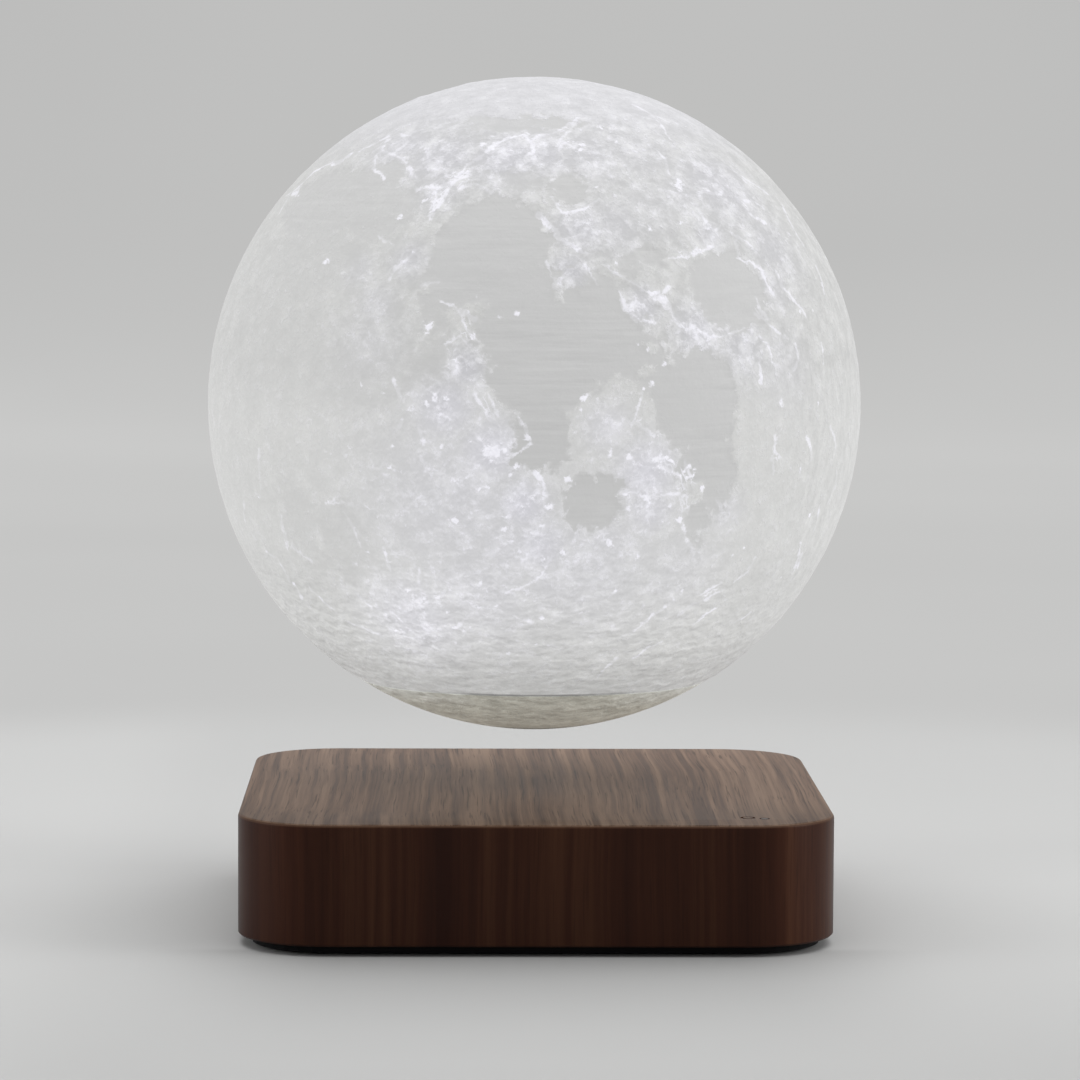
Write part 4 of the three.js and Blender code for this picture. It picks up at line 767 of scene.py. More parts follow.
# %% A cut icosphere
def icosphere_part(low, high, divisions):
    """Unit directions and faces of an icosphere between two levels, with both cuts level."""
    build = bmesh.new()
    bmesh.ops.create_icosphere(build, subdivisions=divisions, radius=1)
    for level, side in ((low, 1), (high, -1)):
        if abs(level) < 1:
            everything = build.verts[:] + build.edges[:] + build.faces[:]
            bmesh.ops.bisect_plane(
                build, geom=everything, plane_co=(0, 0, level), plane_no=(0, 0, side),
                clear_inner=True,
            )
    build.verts.index_update()
    toward = np.array([vertex.co[:] for vertex in build.verts])
    faces = [[vertex.index for vertex in face.verts] for face in build.faces]
    open_edge = [vertex.index for vertex in build.verts if vertex.is_boundary]
    build.free()
    return toward / np.linalg.norm(toward, axis=1, keepdims=True), faces, open_edge


# %% [markdown]
# The relief adds up what the map and the noises say, in millimetres: seas lie low, craters
# are pressed in, ridges and marks stand up, and long wrinkles run round the south. Near
# the seam it fades out, so that shell and cap meet. The same numbers are kept as masks on
# the points, so that the finish paints exactly what the shape shows.

# %% The relief of the Moon
RELIEF_LEVEL = 0.2
SEA_DEPTH = 0.3
BOWL_DEPTH = 0.20
SWELL_HEIGHT = 0.07
WRINKLE_HEIGHT = 0.09
RIDGE_HEIGHT = 0.12
MARK_HEIGHT = 0.1
SEAM_FADE = 1.2
FAR_MARKS = 55
ground = Ground(7)
fine_ground = Ground(8)


def far_side_glow(toward):
    """Bright ground in soft patches on the side that the photo doesn't show."""
    behind = np.clip((toward[:, 1] + 0.05) / 0.5, 0, 1)
    return behind * (0.55 + 0.5 * fine_ground.lumps(toward, 0.5))


def relief(toward):
    """Height in mm over the full radius, and the masks that the finish uses."""
    sway = np.stack([ground.lumps(toward + shift, 0.06) for shift in (0.0, 1.7, 3.1)], axis=1)
    bent = toward + 0.02 * sway
    uneven = toward + 0.006 * sway
    uneven /= np.linalg.norm(uneven, axis=1, keepdims=True)
    ragged = 0.5 * ground.rough(toward, 0.10, 3) + 1.1 * fine_ground.rough(bent, 0.045, 3, 0.7)
    shore, dark, soft = sea_map(toward, ragged)
    land = np.clip(shore / soft + 0.5, 0, 1)
    bowls, rims = crater_relief(toward, 0.2 + 0.8 * land)
    swell = ground.ridges(bent, 0.11, 4)
    near_ridge, ridge_side, ridge_width, ridge_bold = ridges_on(uneven)
    marks = marks_on(uneven, BRIGHT_MARKS + far_marks(FAR_MARKS), 1.5)
    marks = np.maximum(marks, rings_on(uneven))
    behind = far_side_glow(toward)
    south = np.clip((-0.35 - toward[:, 2]) / 0.4, 0, 1)
    wrinkled = fine_ground.ridges(toward * (1, 1, 3.2) + 0.05 * sway, 0.12, 3)
    height = (
        -SEA_DEPTH * dark * (1 - land) + BOWL_DEPTH * bowls + SWELL_HEIGHT * land * swell
        + WRINKLE_HEIGHT * south * wrinkled + MARK_HEIGHT * marks
        + RIDGE_HEIGHT * ridge_bold * np.exp(-(near_ridge / 0.45) ** 2)
    )
    seam_fade = np.clip((toward[:, 2] * MOON_RADIUS - SEAM) / SEAM_FADE, 0, 1)
    masks = {
        "shore": shore, "dark": dark, "soft": soft, "rims": rims * land, "marks": marks,
        "glow": np.maximum(marks_on(toward, BRIGHT_GROUND, 2), behind),
        # Painted shade in the bowls of the far side's craters.
        "crater_floor_shade": np.clip(-1.3 * bowls, 0, 1) * np.clip(behind * 2, 0, 1),
        "near_ridge": near_ridge, "ridge_side": ridge_side,
        "ridge_width": ridge_width, "ridge_bold": ridge_bold,
    }
    return -RELIEF_LEVEL + height * seam_fade, masks


def store(mesh, masks, count):
    """Keeps each mask on the first points of a mesh, which are its outside."""
    for name, values in masks.items():
        attribute = mesh.attributes.new(name, "FLOAT", "POINT")
        filled = np.zeros(len(mesh.vertices), np.float32)
        filled[:count] = values
        attribute.data.foreach_set("value", filled)


# %% [markdown]
# Both halves of the globe are open skins so far. Inner walls close them to real pieces,
# as a moulder would need: each wall is a row of rings that starts on the cut edge and
# ends in one middle point. A Solidify modifier would be quicker, but its inside would
# copy the relief, and it couldn't make the cap's pocket and channel.

# %% Helper: an inner wall
def walled(points, faces, open_edge, profile, end_level, upwards):
    """A skin closed by rings of the given radii and levels, inside its open edge."""
    around = sorted(open_edge, key=lambda i: math.atan2(points[i, 1], points[i, 0]))
    angles = np.arctan2(points[around, 1], points[around, 0])
    count = len(around)
    rings = [around]
    inside = []
    for radius, level in profile:
        first = len(points) + len(inside)
        inside += [(radius * math.cos(a), radius * math.sin(a), level) for a in angles]
        rings.append(list(range(first, first + count)))
    middle = len(points) + len(inside)
    inside.append((0, 0, end_level))
    wall = []
    for low, high in itertools.pairwise(rings):
        wall += [(low[i - 1], high[i - 1], high[i], low[i]) for i in range(count)]
    wall += [(rings[-1][i - 1], middle, rings[-1][i]) for i in range(count)]
    if not upwards:
        wall = [face[::-1] for face in wall]
    return np.vstack([points, inside]) + MOON_CENTRE, faces + wall


# %% [markdown]
# The lit shell is all of the globe above the seam. It would be moulded in one shot, so its
# inside is smooth, and its mouth is open below for the light board. The rim is a flat ring
# on the seam, where the cap is glued on.

# %% The lit shell
INNER_RADIUS = 68.75
MOUTH_RADIUS = 34.1
SHELL_DIVISIONS = 8
INNER_BANDS = 28


def lit_shell():
    cut_level = SEAM / (MOON_RADIUS - RELIEF_LEVEL)
    toward, faces, open_edge = icosphere_part(cut_level, 2, SHELL_DIVISIONS)
    heights, masks = relief(toward)
    points = toward * (MOON_RADIUS + heights)[:, None]
    points[open_edge, 2] = SEAM
    mouth = -math.acos(MOUTH_RADIUS / INNER_RADIUS)
    tilts = np.linspace(mouth, math.pi / 2, INNER_BANDS, endpoint=False)
    profile = [(INNER_RADIUS * math.cos(tilt), INNER_RADIUS * math.sin(tilt)) for tilt in tilts]
    closed = walled(points, faces, open_edge, profile, INNER_RADIUS, upwards=True)
    piece = piece_from("lit_moon_shell", *closed, sharp_over=55)
    store(piece.data, masks, len(points))
    return piece


shell = lit_shell()
span = np.ptp([vertex.co[:] for vertex in shell.data.vertices], axis=0) / MM
print("lit shell", len(shell.data.polygons), "faces,", span.round(1), "mm")

# %% [markdown]
# The globe is thin white plastic with a lamp inside. Where the wall is thick, in the
# highlands, less light should come through, but the photo shows the opposite: its seas are
# the grey ones, since such globes are made thicker there to draw the map. Real
# translucency would need a bright lamp inside and many samples. Here the light that comes
# through is the finish's own glow, drawn by the same map as the relief, and the plastic
# still takes the studio's light on top of it.
#
# The finish has many steps, so each has a function of its own. They share three noises:
# a patchy one, a crumbly one, and one for the crust of the highlands. All three are read
# at a place that a swirl has bent a little, so that nothing looks like a plain noise.

# %% What all steps of the finish share
SEA_TONE = (0.420, 0.420, 0.418)
LAND_TONE = (0.502, 0.503, 0.495)
LILAC_TONE = (0.547, 0.543, 0.584)
VEIN_TONE = (0.74, 0.735, 0.79)
LIT_STEP = (0, 0, 0.0005)
CRUMB_SCALE = 760


class MoonSpot:
    """The place on the globe and the noises that the steps of the finish share."""

    def __init__(self, skin):
        self.place = skin.place()
        self.side, self.depth, self.level = skin.parts(self.place)
        swirl = skin.noise(self.place, 420, 3, out="Color")
        self.bent = skin.shifted(self.place, swirl, 0.0016)
        self.patchy = skin.noise(self.bent, 230, 5, 0.60)
        self.crumbs = skin.noise(self.bent, CRUMB_SCALE, 4, 0.6)
        self.crust = skin.noise(self.bent, 400, 4, 0.6)
        self.glow = skin.stored("glow")
        self.calm = skin.add_share(self.glow, 0.65, 0.32)


def wrinkles(skin, bent):
    """Long low wrinkles, and the painted light and shade of the same wrinkles lit from above."""
    both = []
    for place in (bent, skin.moved(bent, LIT_STEP)):
        both.append(skin.noise(skin.stretched(place, (1.0, 1.0, 2.4)), 210, 3, 0.52))
    wavy, above = both
    return wavy, skin.math("SUBTRACT", wavy, above)


# %% [markdown]
# A sea ends where its stored distance to the shore passes zero. A painted mask would be as
# coarse as the mesh, so noise of the finish's own is added to that distance first. It
# frays the shore finer than the points can.

# %% Which part is sea
def sea_share(skin, spot):
    """How much sea shows at a point: 0 on land, up to 1 in the darkest sea."""
    ragged = skin.add_share(spot.crumbs, 2.4, -2.9)
    ragged = skin.add_share(spot.patchy, 3.4, ragged)
    shore = skin.math("ADD", skin.stored("shore"), ragged)
    sea = skin.remap(skin.math("DIVIDE", shore, skin.stored("soft")), 0.5, -0.5)
    return skin.times(sea, skin.stored("dark"))


# %% [markdown]
# The highlands are a crust of small bright things: creases, blobs, lumps, single grains
# and the rims of the craters. One noise can't show them all. A crease is where a noise
# passes its middle, a blob or lump is where it is high, and a grain is the middle of a
# Voronoi cell, of which only some are chosen.

# %% The crust of the highlands
def highland_crust(skin, spot):
    bent, crumbs = spot.bent, spot.crumbs
    off_middle = skin.math("ABSOLUTE", skin.math("SUBTRACT", spot.crust, 0.5))
    creases = skin.times(skin.remap(off_middle, 0.026, 0.006), skin.remap(crumbs, 0.45, 0.55))
    blobs = skin.remap(crumbs, 0.51, 0.62)
    lumps = skin.remap(skin.noise(bent, 430, 3, 0.6), 0.53, 0.62)
    chosen = skin.remap(skin.parts(skin.cells(bent, 620, "Color"))[0], 0.72, 0.80)
    grains = skin.times(skin.remap(skin.cells(bent, 620), 0.34, 0.16), chosen)
    crust = skin.times(blobs, 0.45)
    for detail, share in (
        (creases, 0.75), (lumps, 0.5), (grains, 1.0), (skin.stored("rims"), 0.45),
    ):
        crust = skin.add_share(detail, share, crust)
    return skin.times(crust, skin.remap(spot.patchy, 0.42, 0.60, 0.15, 1.0))


# %% [markdown]
# The bright craters and the mountain ridges come from the lists of the map. The mesh
# stores how far each point is from the nearest ridge, and on which side. Read as they
# are, the lines would look ruled, so crumbs push them sideways, the crust changes their
# width, and the patchy noise breaks them up.

# %% Bright marks and ridge lines
def drawn_lines(skin, spot):
    crumbs = spot.crumbs
    marks = skin.stored("marks")
    near_marks = skin.remap(marks, 0.10, 0.30)
    marks = skin.times(skin.remap(skin.add_share(crumbs, 2.6, marks), 1.60, 2.15), near_marks)
    across = skin.math("SUBTRACT", skin.stored("ridge_side"), 0.7)
    across = skin.math("ABSOLUTE", skin.add_share(crumbs, 1.4, across))
    width = skin.remap(spot.crust, 0.42, 0.60, 0.35, 1.3)
    width = skin.times(width, skin.stored("ridge_width"))
    ridge = skin.times(
        skin.remap(skin.math("SUBTRACT", across, width), 0.22, -0.18),
        skin.remap(skin.stored("near_ridge"), 1.2, 0.7),
        skin.remap(spot.patchy, 0.44, 0.57, 0.25, 0.90),
        skin.stored("ridge_bold"),
    )
    return skin.math("MAXIMUM", marks, ridge)


# %% [markdown]
# Between the veins the land is cloudy, from warm grey on calm ground to lilac on bright
# ground. The clouds are bolder in the north of the near side. The top of the globe is
# painted lighter and more lilac, as painted light from above, and the bowls of the far
# side's craters are painted darker, as painted shade. The seas have long thin level
# streaks, as the layers of a printed mould leave them, in gusts.

# %% Tones of the land and the seas
def land_colour(skin, spot):
    level = spot.level
    north = skin.times(
        skin.remap(level, 0.108, 0.130),
        skin.remap(spot.depth, 0.02, -0.02),
        skin.remap(spot.side, -0.034, -0.016, 0.35, 1.0),
    )
    clouds = skin.add_share(spot.crumbs, 0.30, -0.675)
    clouds = skin.add_share(spot.patchy, 1.05, clouds)
    bold = skin.times(spot.calm, skin.remap(north, 0, 1, 1.0, 2.4))
    clouds = skin.add_share(clouds, bold, 1.0)
    clouds = skin.math("MAXIMUM", clouds, skin.remap(north, 0, 1, 0.945, 0.86))
    clouds = skin.times(
        clouds,
        skin.remap(level, 0.108, 0.124, 1.0, 0.93),
        # Painted light: the top of the globe is lighter.
        skin.remap(level, 0.166, 0.176, 1.0, 1.07),
        # Painted shade: the bowls of the far side's craters are darker.
        skin.remap(skin.stored("crater_floor_shade"), 0, 1, 1.0, 0.87),
    )
    # Near the top the lilac is painted light. Elsewhere it is the bright ground's own tint.
    tint = skin.math("MAXIMUM", spot.glow, skin.remap(level, 0.158, 0.176, 0.0, 0.6))
    return skin.scaled(skin.mix(tint, LAND_TONE, LILAC_TONE), clouds)


def sea_colour(skin, spot):
    gusts = skin.noise(skin.stretched(spot.place, (1.0, 1.0, 7.0)), 40, 2)
    streaks = skin.noise(skin.stretched(spot.place, (1.0, 1.0, 16.0)), 62, 4, 0.7)
    streaks = skin.math("SUBTRACT", streaks, 0.5)
    streaks = skin.add_share(streaks, skin.remap(gusts, 0.35, 0.65, 0.10, 0.42), 1.0)
    return skin.scaled(SEA_TONE, streaks)


# %% [markdown]
# Light from above picks out every wrinkle and pit. True shadows of so low a relief drown
# in the glow, so their light and shade are painted: each is the difference between a noise
# and the same noise half a millimetre higher. Upright streaks stand on the eastern edge.

# %% Wrinkles, pits and streaks
def lit_detail(skin, spot, land, painted_wrinkle_shade, south):
    """A factor round 1 that paints light and shade on the small forms."""
    wrinkled = skin.times(south, skin.remap(spot.side, 0.036, 0.054, 0.98, 0.48))
    detail = skin.add_share(painted_wrinkle_shade, wrinkled, 1.0)
    above = skin.noise(skin.moved(spot.bent, LIT_STEP), CRUMB_SCALE, 4, 0.6)
    # Painted light and shade of the pits.
    pits = skin.math("SUBTRACT", spot.crumbs, above)
    detail = skin.add_share(pits, skin.times(land, 0.34, spot.calm), detail)
    upright = skin.noise(skin.stretched(spot.bent, (1.0, 1.0, 0.30)), 620, 4, 0.6)
    upright = skin.math("SUBTRACT", upright, 0.5)
    eastern = skin.remap(spot.side, 0.046, 0.060, 0.0, 0.44)
    return skin.add_share(upright, eastern, detail)


# %% [markdown]
# Less light gets out near the seam, where the cap and the magnet stand in its way. The
# shade follows the level, and it is deepest at the sides just above the seam. Wrinkles
# shift its edge, because a straight one would look painted. Round the great ray crater in
# the south-west the ground is brighter again.

# %% How much light reaches a point
RAY_CRATER = tuple((MOON_CENTRE + MOON_RADIUS * direction(-26, -37)) * MM)


def light_reach(skin, spot, wavy):
    level = spot.level
    sides = skin.math("ABSOLUTE", spot.side)
    low_sides = skin.times(skin.remap(sides, 0.030, 0.052), skin.remap(level, 0.090, 0.072))
    corners = skin.times(skin.remap(sides, 0.034, 0.048), skin.remap(level, 0.064, 0.054))
    seam_shade = skin.remap(skin.add_share(wavy, 0.030, sides), 0.022, 0.040, 0.45, 1.0)
    seam_shade = skin.math("MAXIMUM", seam_shade, skin.remap(level, 0.0514, 0.0519))
    from_rays = skin.add(
        "VectorMath", {0: spot.place, 1: RAY_CRATER}, operation="DISTANCE"
    ).outputs["Value"]
    return skin.times(
        seam_shade,
        skin.remap(level, 0.0500, 0.0680, 0.84, 1.07),
        skin.remap(level, 0.0700, 0.1000, 1.0, 0.965),
        skin.remap(from_rays, 0.023, 0.008, 1.0, 1.06),
        skin.remap(low_sides, 0, 1, 1.0, 0.925),
        skin.remap(corners, 0, 1, 1.0, 0.935),
    )


# %% [markdown]
# Now the steps are put together. Land and seas are mixed by the sea's share, the veins of
# the crust and the drawn lines go on top, and the light that gets out scales it all. The
# same noises also make the bump, so painted and real forms agree.

# %% Finish of the lit shell
def moon_finish():
    skin = Finish(
        "lit_moon_plastic", Roughness=0.62, Specular_IOR_Level=0.25,
        Sheen_Weight=0.05, Sheen_Roughness=0.5, Base_Color=(0.18, 0.18, 0.182),
        Emission_Strength=1.0,
    )
    spot = MoonSpot(skin)
    sea = sea_share(skin, spot)
    land = skin.math("SUBTRACT", 1.0, sea)
    crust = highland_crust(skin, spot)
    veins = skin.times(crust, land, skin.add_share(spot.glow, 0.72, 0.14))
    veins = skin.math("ADD", veins, drawn_lines(skin, spot))
    veins = skin.math("MINIMUM", veins, 1.0)
    tone = skin.mix(sea, land_colour(skin, spot), sea_colour(skin, spot))
    tone = skin.mix(veins, tone, VEIN_TONE)
    wavy, painted_wrinkle_shade = wrinkles(skin, spot.bent)
    south = skin.remap(spot.level, 0.090, 0.060)
    # The small forms get painted light and shade.
    detail = lit_detail(skin, spot, land, painted_wrinkle_shade, south)
    tone = skin.scaled(tone, skin.times(light_reach(skin, spot, wavy), detail))
    height = skin.add_share(crust, land, spot.patchy)
    height = skin.add_share(wavy, skin.add_share(south, 2.0, 0.2), height)
    return skin.wear(Emission_Color=tone, Normal=skin.bump(height, 0.00045, 0.8))


fit(shell, moon_finish(), "moon", "moon_plastic", "moon_shell")

# %% [markdown]
# The cap closes the globe below the seam. It holds the magnet, so no light comes through
# it, and the photo shows it as a plain warm grey with the same wrinkles pressed into it.
# Its outside is the lower end of the same icosphere. Its inside, with the magnet's pocket
# and the ring channel of the receiving coil, is turned like a cup on a lathe.

# %% The unlit cap
CAP_PROFILE = [
    (30.7, SEAM - SEAM_GAP), (30.7, -61.37), (24.5, -61.37), (24.5, SEAM), (20.3, SEAM),
    (20.3, -65.39),
]
EDGE_FADE = 0.8


def cap():
    top = SEAM - SEAM_GAP
    radius = MOON_RADIUS - RELIEF_LEVEL
    toward, faces, open_edge = icosphere_part(-2, top / radius, SHELL_DIVISIONS)
    heights, _ = relief(toward)
    off_edge = np.clip((top - toward[:, 2] * radius) / EDGE_FADE, 0, 1)
    heights = -RELIEF_LEVEL + (heights + RELIEF_LEVEL) * off_edge
    points = toward * (MOON_RADIUS + heights)[:, None]
    points[open_edge, 2] = top
    pocket_floor = CAP_PROFILE[-1][1]
    closed = walled(points, faces, open_edge, CAP_PROFILE, pocket_floor, upwards=False)
    return piece_from("unlit_moon_cap", *closed, sharp_over=40)


moon_cap = cap()
print("cap", len(moon_cap.data.polygons), "faces")

# %% [markdown]
# The cap's finish is warm and a little darker. It has a faint glow of its own, most at the
# two ends of the seam: partly light that leaks into the plastic from above, partly painted
# light for the light that falls on the cap from the front. Its colour is painted lighter on
# the crests of the wrinkles and darker in their hollows. At the very bottom, where the
# photo's cap has a dark rim, the glow and the colour are painted darker: painted shade,
# where the cap faces the dark base.

# %% Finish of the unlit cap
def cap_finish():
    skin = Finish(
        "unlit_moon_plastic", Roughness=0.6, Specular_IOR_Level=0.3, Emission_Strength=1.0
    )
    place = skin.place()
    side, _, level = skin.parts(place)
    bent = skin.shifted(place, skin.noise(place, 420, 3, out="Color"), 0.0016)
    wavy, painted_wrinkle_shade = wrinkles(skin, bent)
    height = skin.add_share(skin.noise(bent, 1000, 3, 0.6), 0.4, wavy)
    # Painted light and shade: lighter on the crests of the wrinkles, darker in their hollows.
    tone = skin.ramp(height, (0.55, (0.565, 0.590, 0.540)), (0.85, (0.695, 0.730, 0.680)))
    # Painted light: the glow is partly light that leaks in from above, partly light that falls on the cap
    # from the front; most at the seam's ends.
    leak_and_painted_light = skin.add_share(wavy, 0.030, skin.math("ABSOLUTE", side))
    leak_and_painted_light = skin.times(skin.remap(leak_and_painted_light, 0.026, 0.044), skin.remap(level, 0.0465, 0.0512))
    glow = skin.mix(leak_and_painted_light, (0.195, 0.190, 0.166), (0.272, 0.272, 0.260))
    # Painted light and shade of the wrinkles on the glow.
    glow = skin.scaled(glow, skin.add_share(painted_wrinkle_shade, 2.0, 1.0))
    # Painted shade: glow and colour are darker at the very bottom, which faces the dark base.
    glow = skin.scaled(glow, skin.remap(level, 0.0403, 0.0425, 0.10, 1.0))
    tone = skin.scaled(tone, skin.remap(level, 0.0403, 0.0425, 0.35, 1.0))
    return skin.wear(
        Base_Color=tone, Emission_Color=glow, Normal=skin.bump(height, 0.0008, 1.0)
    )


fit(moon_cap, cap_finish(), "moon", "cap_plastic", "bottom_cap")

# %% [markdown]
# The case of the base is solid-looking walnut, in fact a box that is hollow below. Its
# outside is a stack of rounded squares: a tiny chamfer at the bottom, straight sides and a
# small round at the top edge. A cube with a bevel modifier would do too, but a stack gives
# every level by number. The holes are cut by Boolean modifiers, as a router would.

# %% Helper: rounded squares, stacks and cuts
CORNER_STEPS = 14


def rounded_square(side, radius):
    outline = []
    for corner in range(4):
        turn = math.radians(90) * corner
        middle = side / 2 - radius
        centre = Matrix.Rotation(turn, 2) @ Vector((middle, middle))
        for step in range(CORNER_STEPS + 1):
            angle = turn + math.radians(90) * step / CORNER_STEPS
            outline.append((
                centre[0] + radius * math.cos(angle), centre[1] + radius * math.sin(angle),
            ))
    return outline


def stack(name, levels):
    """A closed piece through outlines of one length, given as (outline, level) pairs."""
    points = [(x, y, level) for outline, level in levels for x, y in outline]
    count = len(levels[0][0])
    faces = []
    for row in range(len(levels) - 1):
        low, high = row * count, (row + 1) * count
        for i in range(count):
            after = (i + 1) % count
            faces.append((low + i, low + after, high + after, high + i))
    faces.append(tuple(range(count - 1, -1, -1)))
    last = (len(levels) - 1) * count
    faces.append(tuple(range(last, last + count)))
    return piece_from(name, points, faces)


def round_outline(radius, sides, x=0.0, y=0.0):
    turns = [2 * math.pi * i / sides for i in range(sides)]
    return [(x + radius * math.cos(turn), y + radius * math.sin(turn)) for turn in turns]


def cutter(name, outline, low, high):
    return stack(name, [(outline, low), (outline, high)])


def cut_away(piece, tools):
    for tool in tools:
        change = piece.modifiers.new("cut", "BOOLEAN")
        change.operation = "DIFFERENCE"
        change.solver = "EXACT"
        change.object = tool
        bpy.context.view_layer.objects.active = piece
        bpy.ops.object.modifier_apply(modifier=change.name)
        bpy.data.objects.remove(tool)
    shade(piece)


# %% [markdown]
# The case is hollow below, with thick webs left in the corners for the screws. In the
# back is the round hole of the power inlet, and on top are a fine groove round the touch
# spot and the bore of the key light. Each hole is a straight cutter, a little longer than
# the wood is thick, because faces that coincide confuse a Boolean.

# %% The walnut case
CASE_SIDE = 125
CASE_CORNER = 19.2
CASE_BOTTOM = 2.1
CASE_TOP = 27.5
EDGE_ROUND = 0.8
EDGE_STEPS = 6
BOTTOM_CHAMFER = 0.4
ROOF_UNDER = 24
CAVITY_HALF = 57.5
CAVITY_CORNER = 14.2
WEB_TOP = 12
WEB_SUM = 89.5
SCREW_AT = 49
SCREW_HOLE = 1.6
SCREW_TOP = 8.9
PLUG_HOLE = 5.75
PLUG_AXIS = 15.5
TOUCH_AT = (43.9, -51.0)
TOUCH_RING = (1.05, 1.6)
TOUCH_DEPTH = 0.25
LIGHT_AT = (47.3, -52.3)
LIGHT_HOLE = 1.1


def case_block():
    levels = [(BOTTOM_CHAMFER, CASE_BOTTOM), (0, CASE_BOTTOM + BOTTOM_CHAMFER)]
    for step in range(EDGE_STEPS + 1):
        angle = math.radians(90) * step / EDGE_STEPS
        inset, below = 1 - math.cos(angle), 1 - math.sin(angle)
        levels.append((EDGE_ROUND * inset, CASE_TOP - EDGE_ROUND * below))
    return stack("walnut_case", [
        (rounded_square(CASE_SIDE - 2 * inset, CASE_CORNER - inset), level)
        for inset, level in levels
    ])


def case_cutters():
    half, short = CAVITY_HALF, WEB_SUM - CAVITY_HALF
    cut_corners = [(half, -short), (half, short), (short, half), (-short, half),
                   (-half, short), (-half, -short), (-short, -half), (short, -half)]
    room = rounded_square(2 * half, CAVITY_CORNER)
    plug = cutter("plug_cut", round_outline(PLUG_HOLE, 48), 50, 70)
    plug.data.transform(Matrix.Rotation(math.radians(-90), 4, "X"))
    plug.data.transform(Matrix.Translation((0, 0, PLUG_AXIS * MM)))
    core, outer = (round_outline(radius, 40, *TOUCH_AT) for radius in TOUCH_RING)
    groove = cutter("ring_cut", outer, CASE_TOP - TOUCH_DEPTH, CASE_TOP + 1)
    cut_away(groove, [cutter("ring_core", core, CASE_TOP - 1, CASE_TOP + 2)])
    pipe = round_outline(LIGHT_HOLE, 24, *LIGHT_AT)
    screws = [
        cutter("screw_cut", round_outline(SCREW_HOLE, 16, x, y), CASE_BOTTOM - 1, SCREW_TOP)
        for x, y in itertools.product((-SCREW_AT, SCREW_AT), repeat=2)
    ]
    return [
        cutter("room_cut", room, WEB_TOP - 0.6, ROOF_UNDER),
        cutter("web_cut", cut_corners, CASE_BOTTOM - 1, WEB_TOP),
        plug, cutter("pipe_cut", pipe, ROOF_UNDER - 1, CASE_TOP + 1), groove, *screws,
    ]


def walnut_case():
    block = case_block()
    cut_away(block, case_cutters())
    return block


case = walnut_case()
print("walnut case", len(case.data.polygons), "faces")

# %% [markdown]
# Walnut is dark brown with fine straight grain. In the photo the grain runs from front to
# back on the top, and upright on the sides, as on a block that is wrapped in veneer. The
# finish uses noise that is stretched a lot along the grain: once for the top and once for
# the sides, and the way the face looks decides between the two. The top is far lighter than
# the sides, partly a paler veneer and partly painted light and a painted reflection of the
# lacquer's shine, with painted shade towards its front and its ends. The corners are
# painted paler where they turn to the side lamps, and the round of the top edge has a
# painted highlight. A photo of wood as a texture would be quicker, but it would end in a
# seam at the edges.

# %% Finish of the walnut
ALONG_TOP = (1.0, 0.011, 1.0)
ALONG_SIDE = (1.0, 1.0, 0.018)
PORE_TONE = (0.016, 0.0052, 0.003)


def walnut_grain(wood, place, on_top):
    """Broad bands, grain and pores, along the depth on top and upright on the sides."""
    drift = wood.noise(place, 14, 2, out="Color")
    bent = wood.shifted(place, drift, 0.0035)
    grains = []
    for scale in (ALONG_SIDE, ALONG_TOP):
        along = wood.stretched(bent, scale)
        grains.append((
            wood.noise(along, 70, 3, 0.55), wood.noise(along, 700, 4, 0.62),
            wood.noise(along, 2400, 2, 0.6),
        ))
    return [wood.mix(on_top, side, top) for side, top in zip(*grains)]


def side_colour(wood, streaks):
    tone = wood.ramp(
        streaks, (0.36, (0.021, 0.0060, 0.0032)), (0.5, (0.034, 0.0108, 0.0052)),
        (0.64, (0.060, 0.0235, 0.0115)),
    )
    # Painted light: the corners are paler where they turn to the side lamps.
    corner = wood.math("ABSOLUTE", wood.times(*wood.parts(wood.facing())[:2]))
    return wood.scaled(tone, wood.remap(corner, 0.05, 0.45, 1.0, 1.40))


def top_colour(wood, place, streaks):
    across, depth, _ = wood.parts(place)
    # Far lighter than the sides: partly a paler veneer, partly painted light and a painted reflection of
    # the lacquer's shine.
    tone = wood.ramp(
        streaks, (0.41, (0.108, 0.0600, 0.0390)), (0.5, (0.196, 0.1220, 0.0830)),
        (0.59, (0.284, 0.1880, 0.1330)),
    )
    # Painted light and shade: darker towards the front edge and towards the left and right ends, lighter
    # from the middle back.
    tone = wood.scaled(tone, wood.remap(depth, -0.062, -0.010, 0.66, 1.24))
    off_middle = wood.math("ABSOLUTE", across)
    return wood.scaled(tone, wood.remap(off_middle, 0.030, 0.062, 1.0, 0.88))


def walnut_finish():
    wood = Finish("walnut_lacquered", Roughness=0.42, Specular_IOR_Level=0.10)
    place = wood.place()
    up = wood.parts(wood.facing())[2]
    on_top = wood.remap(up, 0.55, 0.8)
    broad, grain, pores = walnut_grain(wood, place, on_top)
    share = wood.remap(on_top, 0, 1, 0.70, 0.36)
    streaks = wood.add_share(wood.math("SUBTRACT", broad, grain), share, grain)
    colour = wood.mix(on_top, side_colour(wood, streaks), top_colour(wood, place, streaks))
    dark_pores = wood.times(wood.remap(pores, 0.55, 0.70), wood.remap(on_top, 0, 1, 0.35, 0.58))
    colour = wood.mix(dark_pores, colour, PORE_TONE)
    # Painted highlight on the round of the top edge.
    painted_edge_highlight = wood.times(wood.remap(up, 0.10, 0.45), wood.remap(up, 0.97, 0.80), 0.28)
    colour = wood.mix(painted_edge_highlight, colour, (0.20, 0.115, 0.070))
    height = wood.add_share(grain, 0.5, wood.times(pores, -0.7))
    rough = wood.remap(grain, 0.3, 0.7, 0.36, 0.42)
    return wood.wear(
        Base_Color=colour, Roughness=rough, Normal=wood.bump(height, 0.00002, 0.25)
    )


fit(case, walnut_finish(), "base", "walnut", "wood_case")

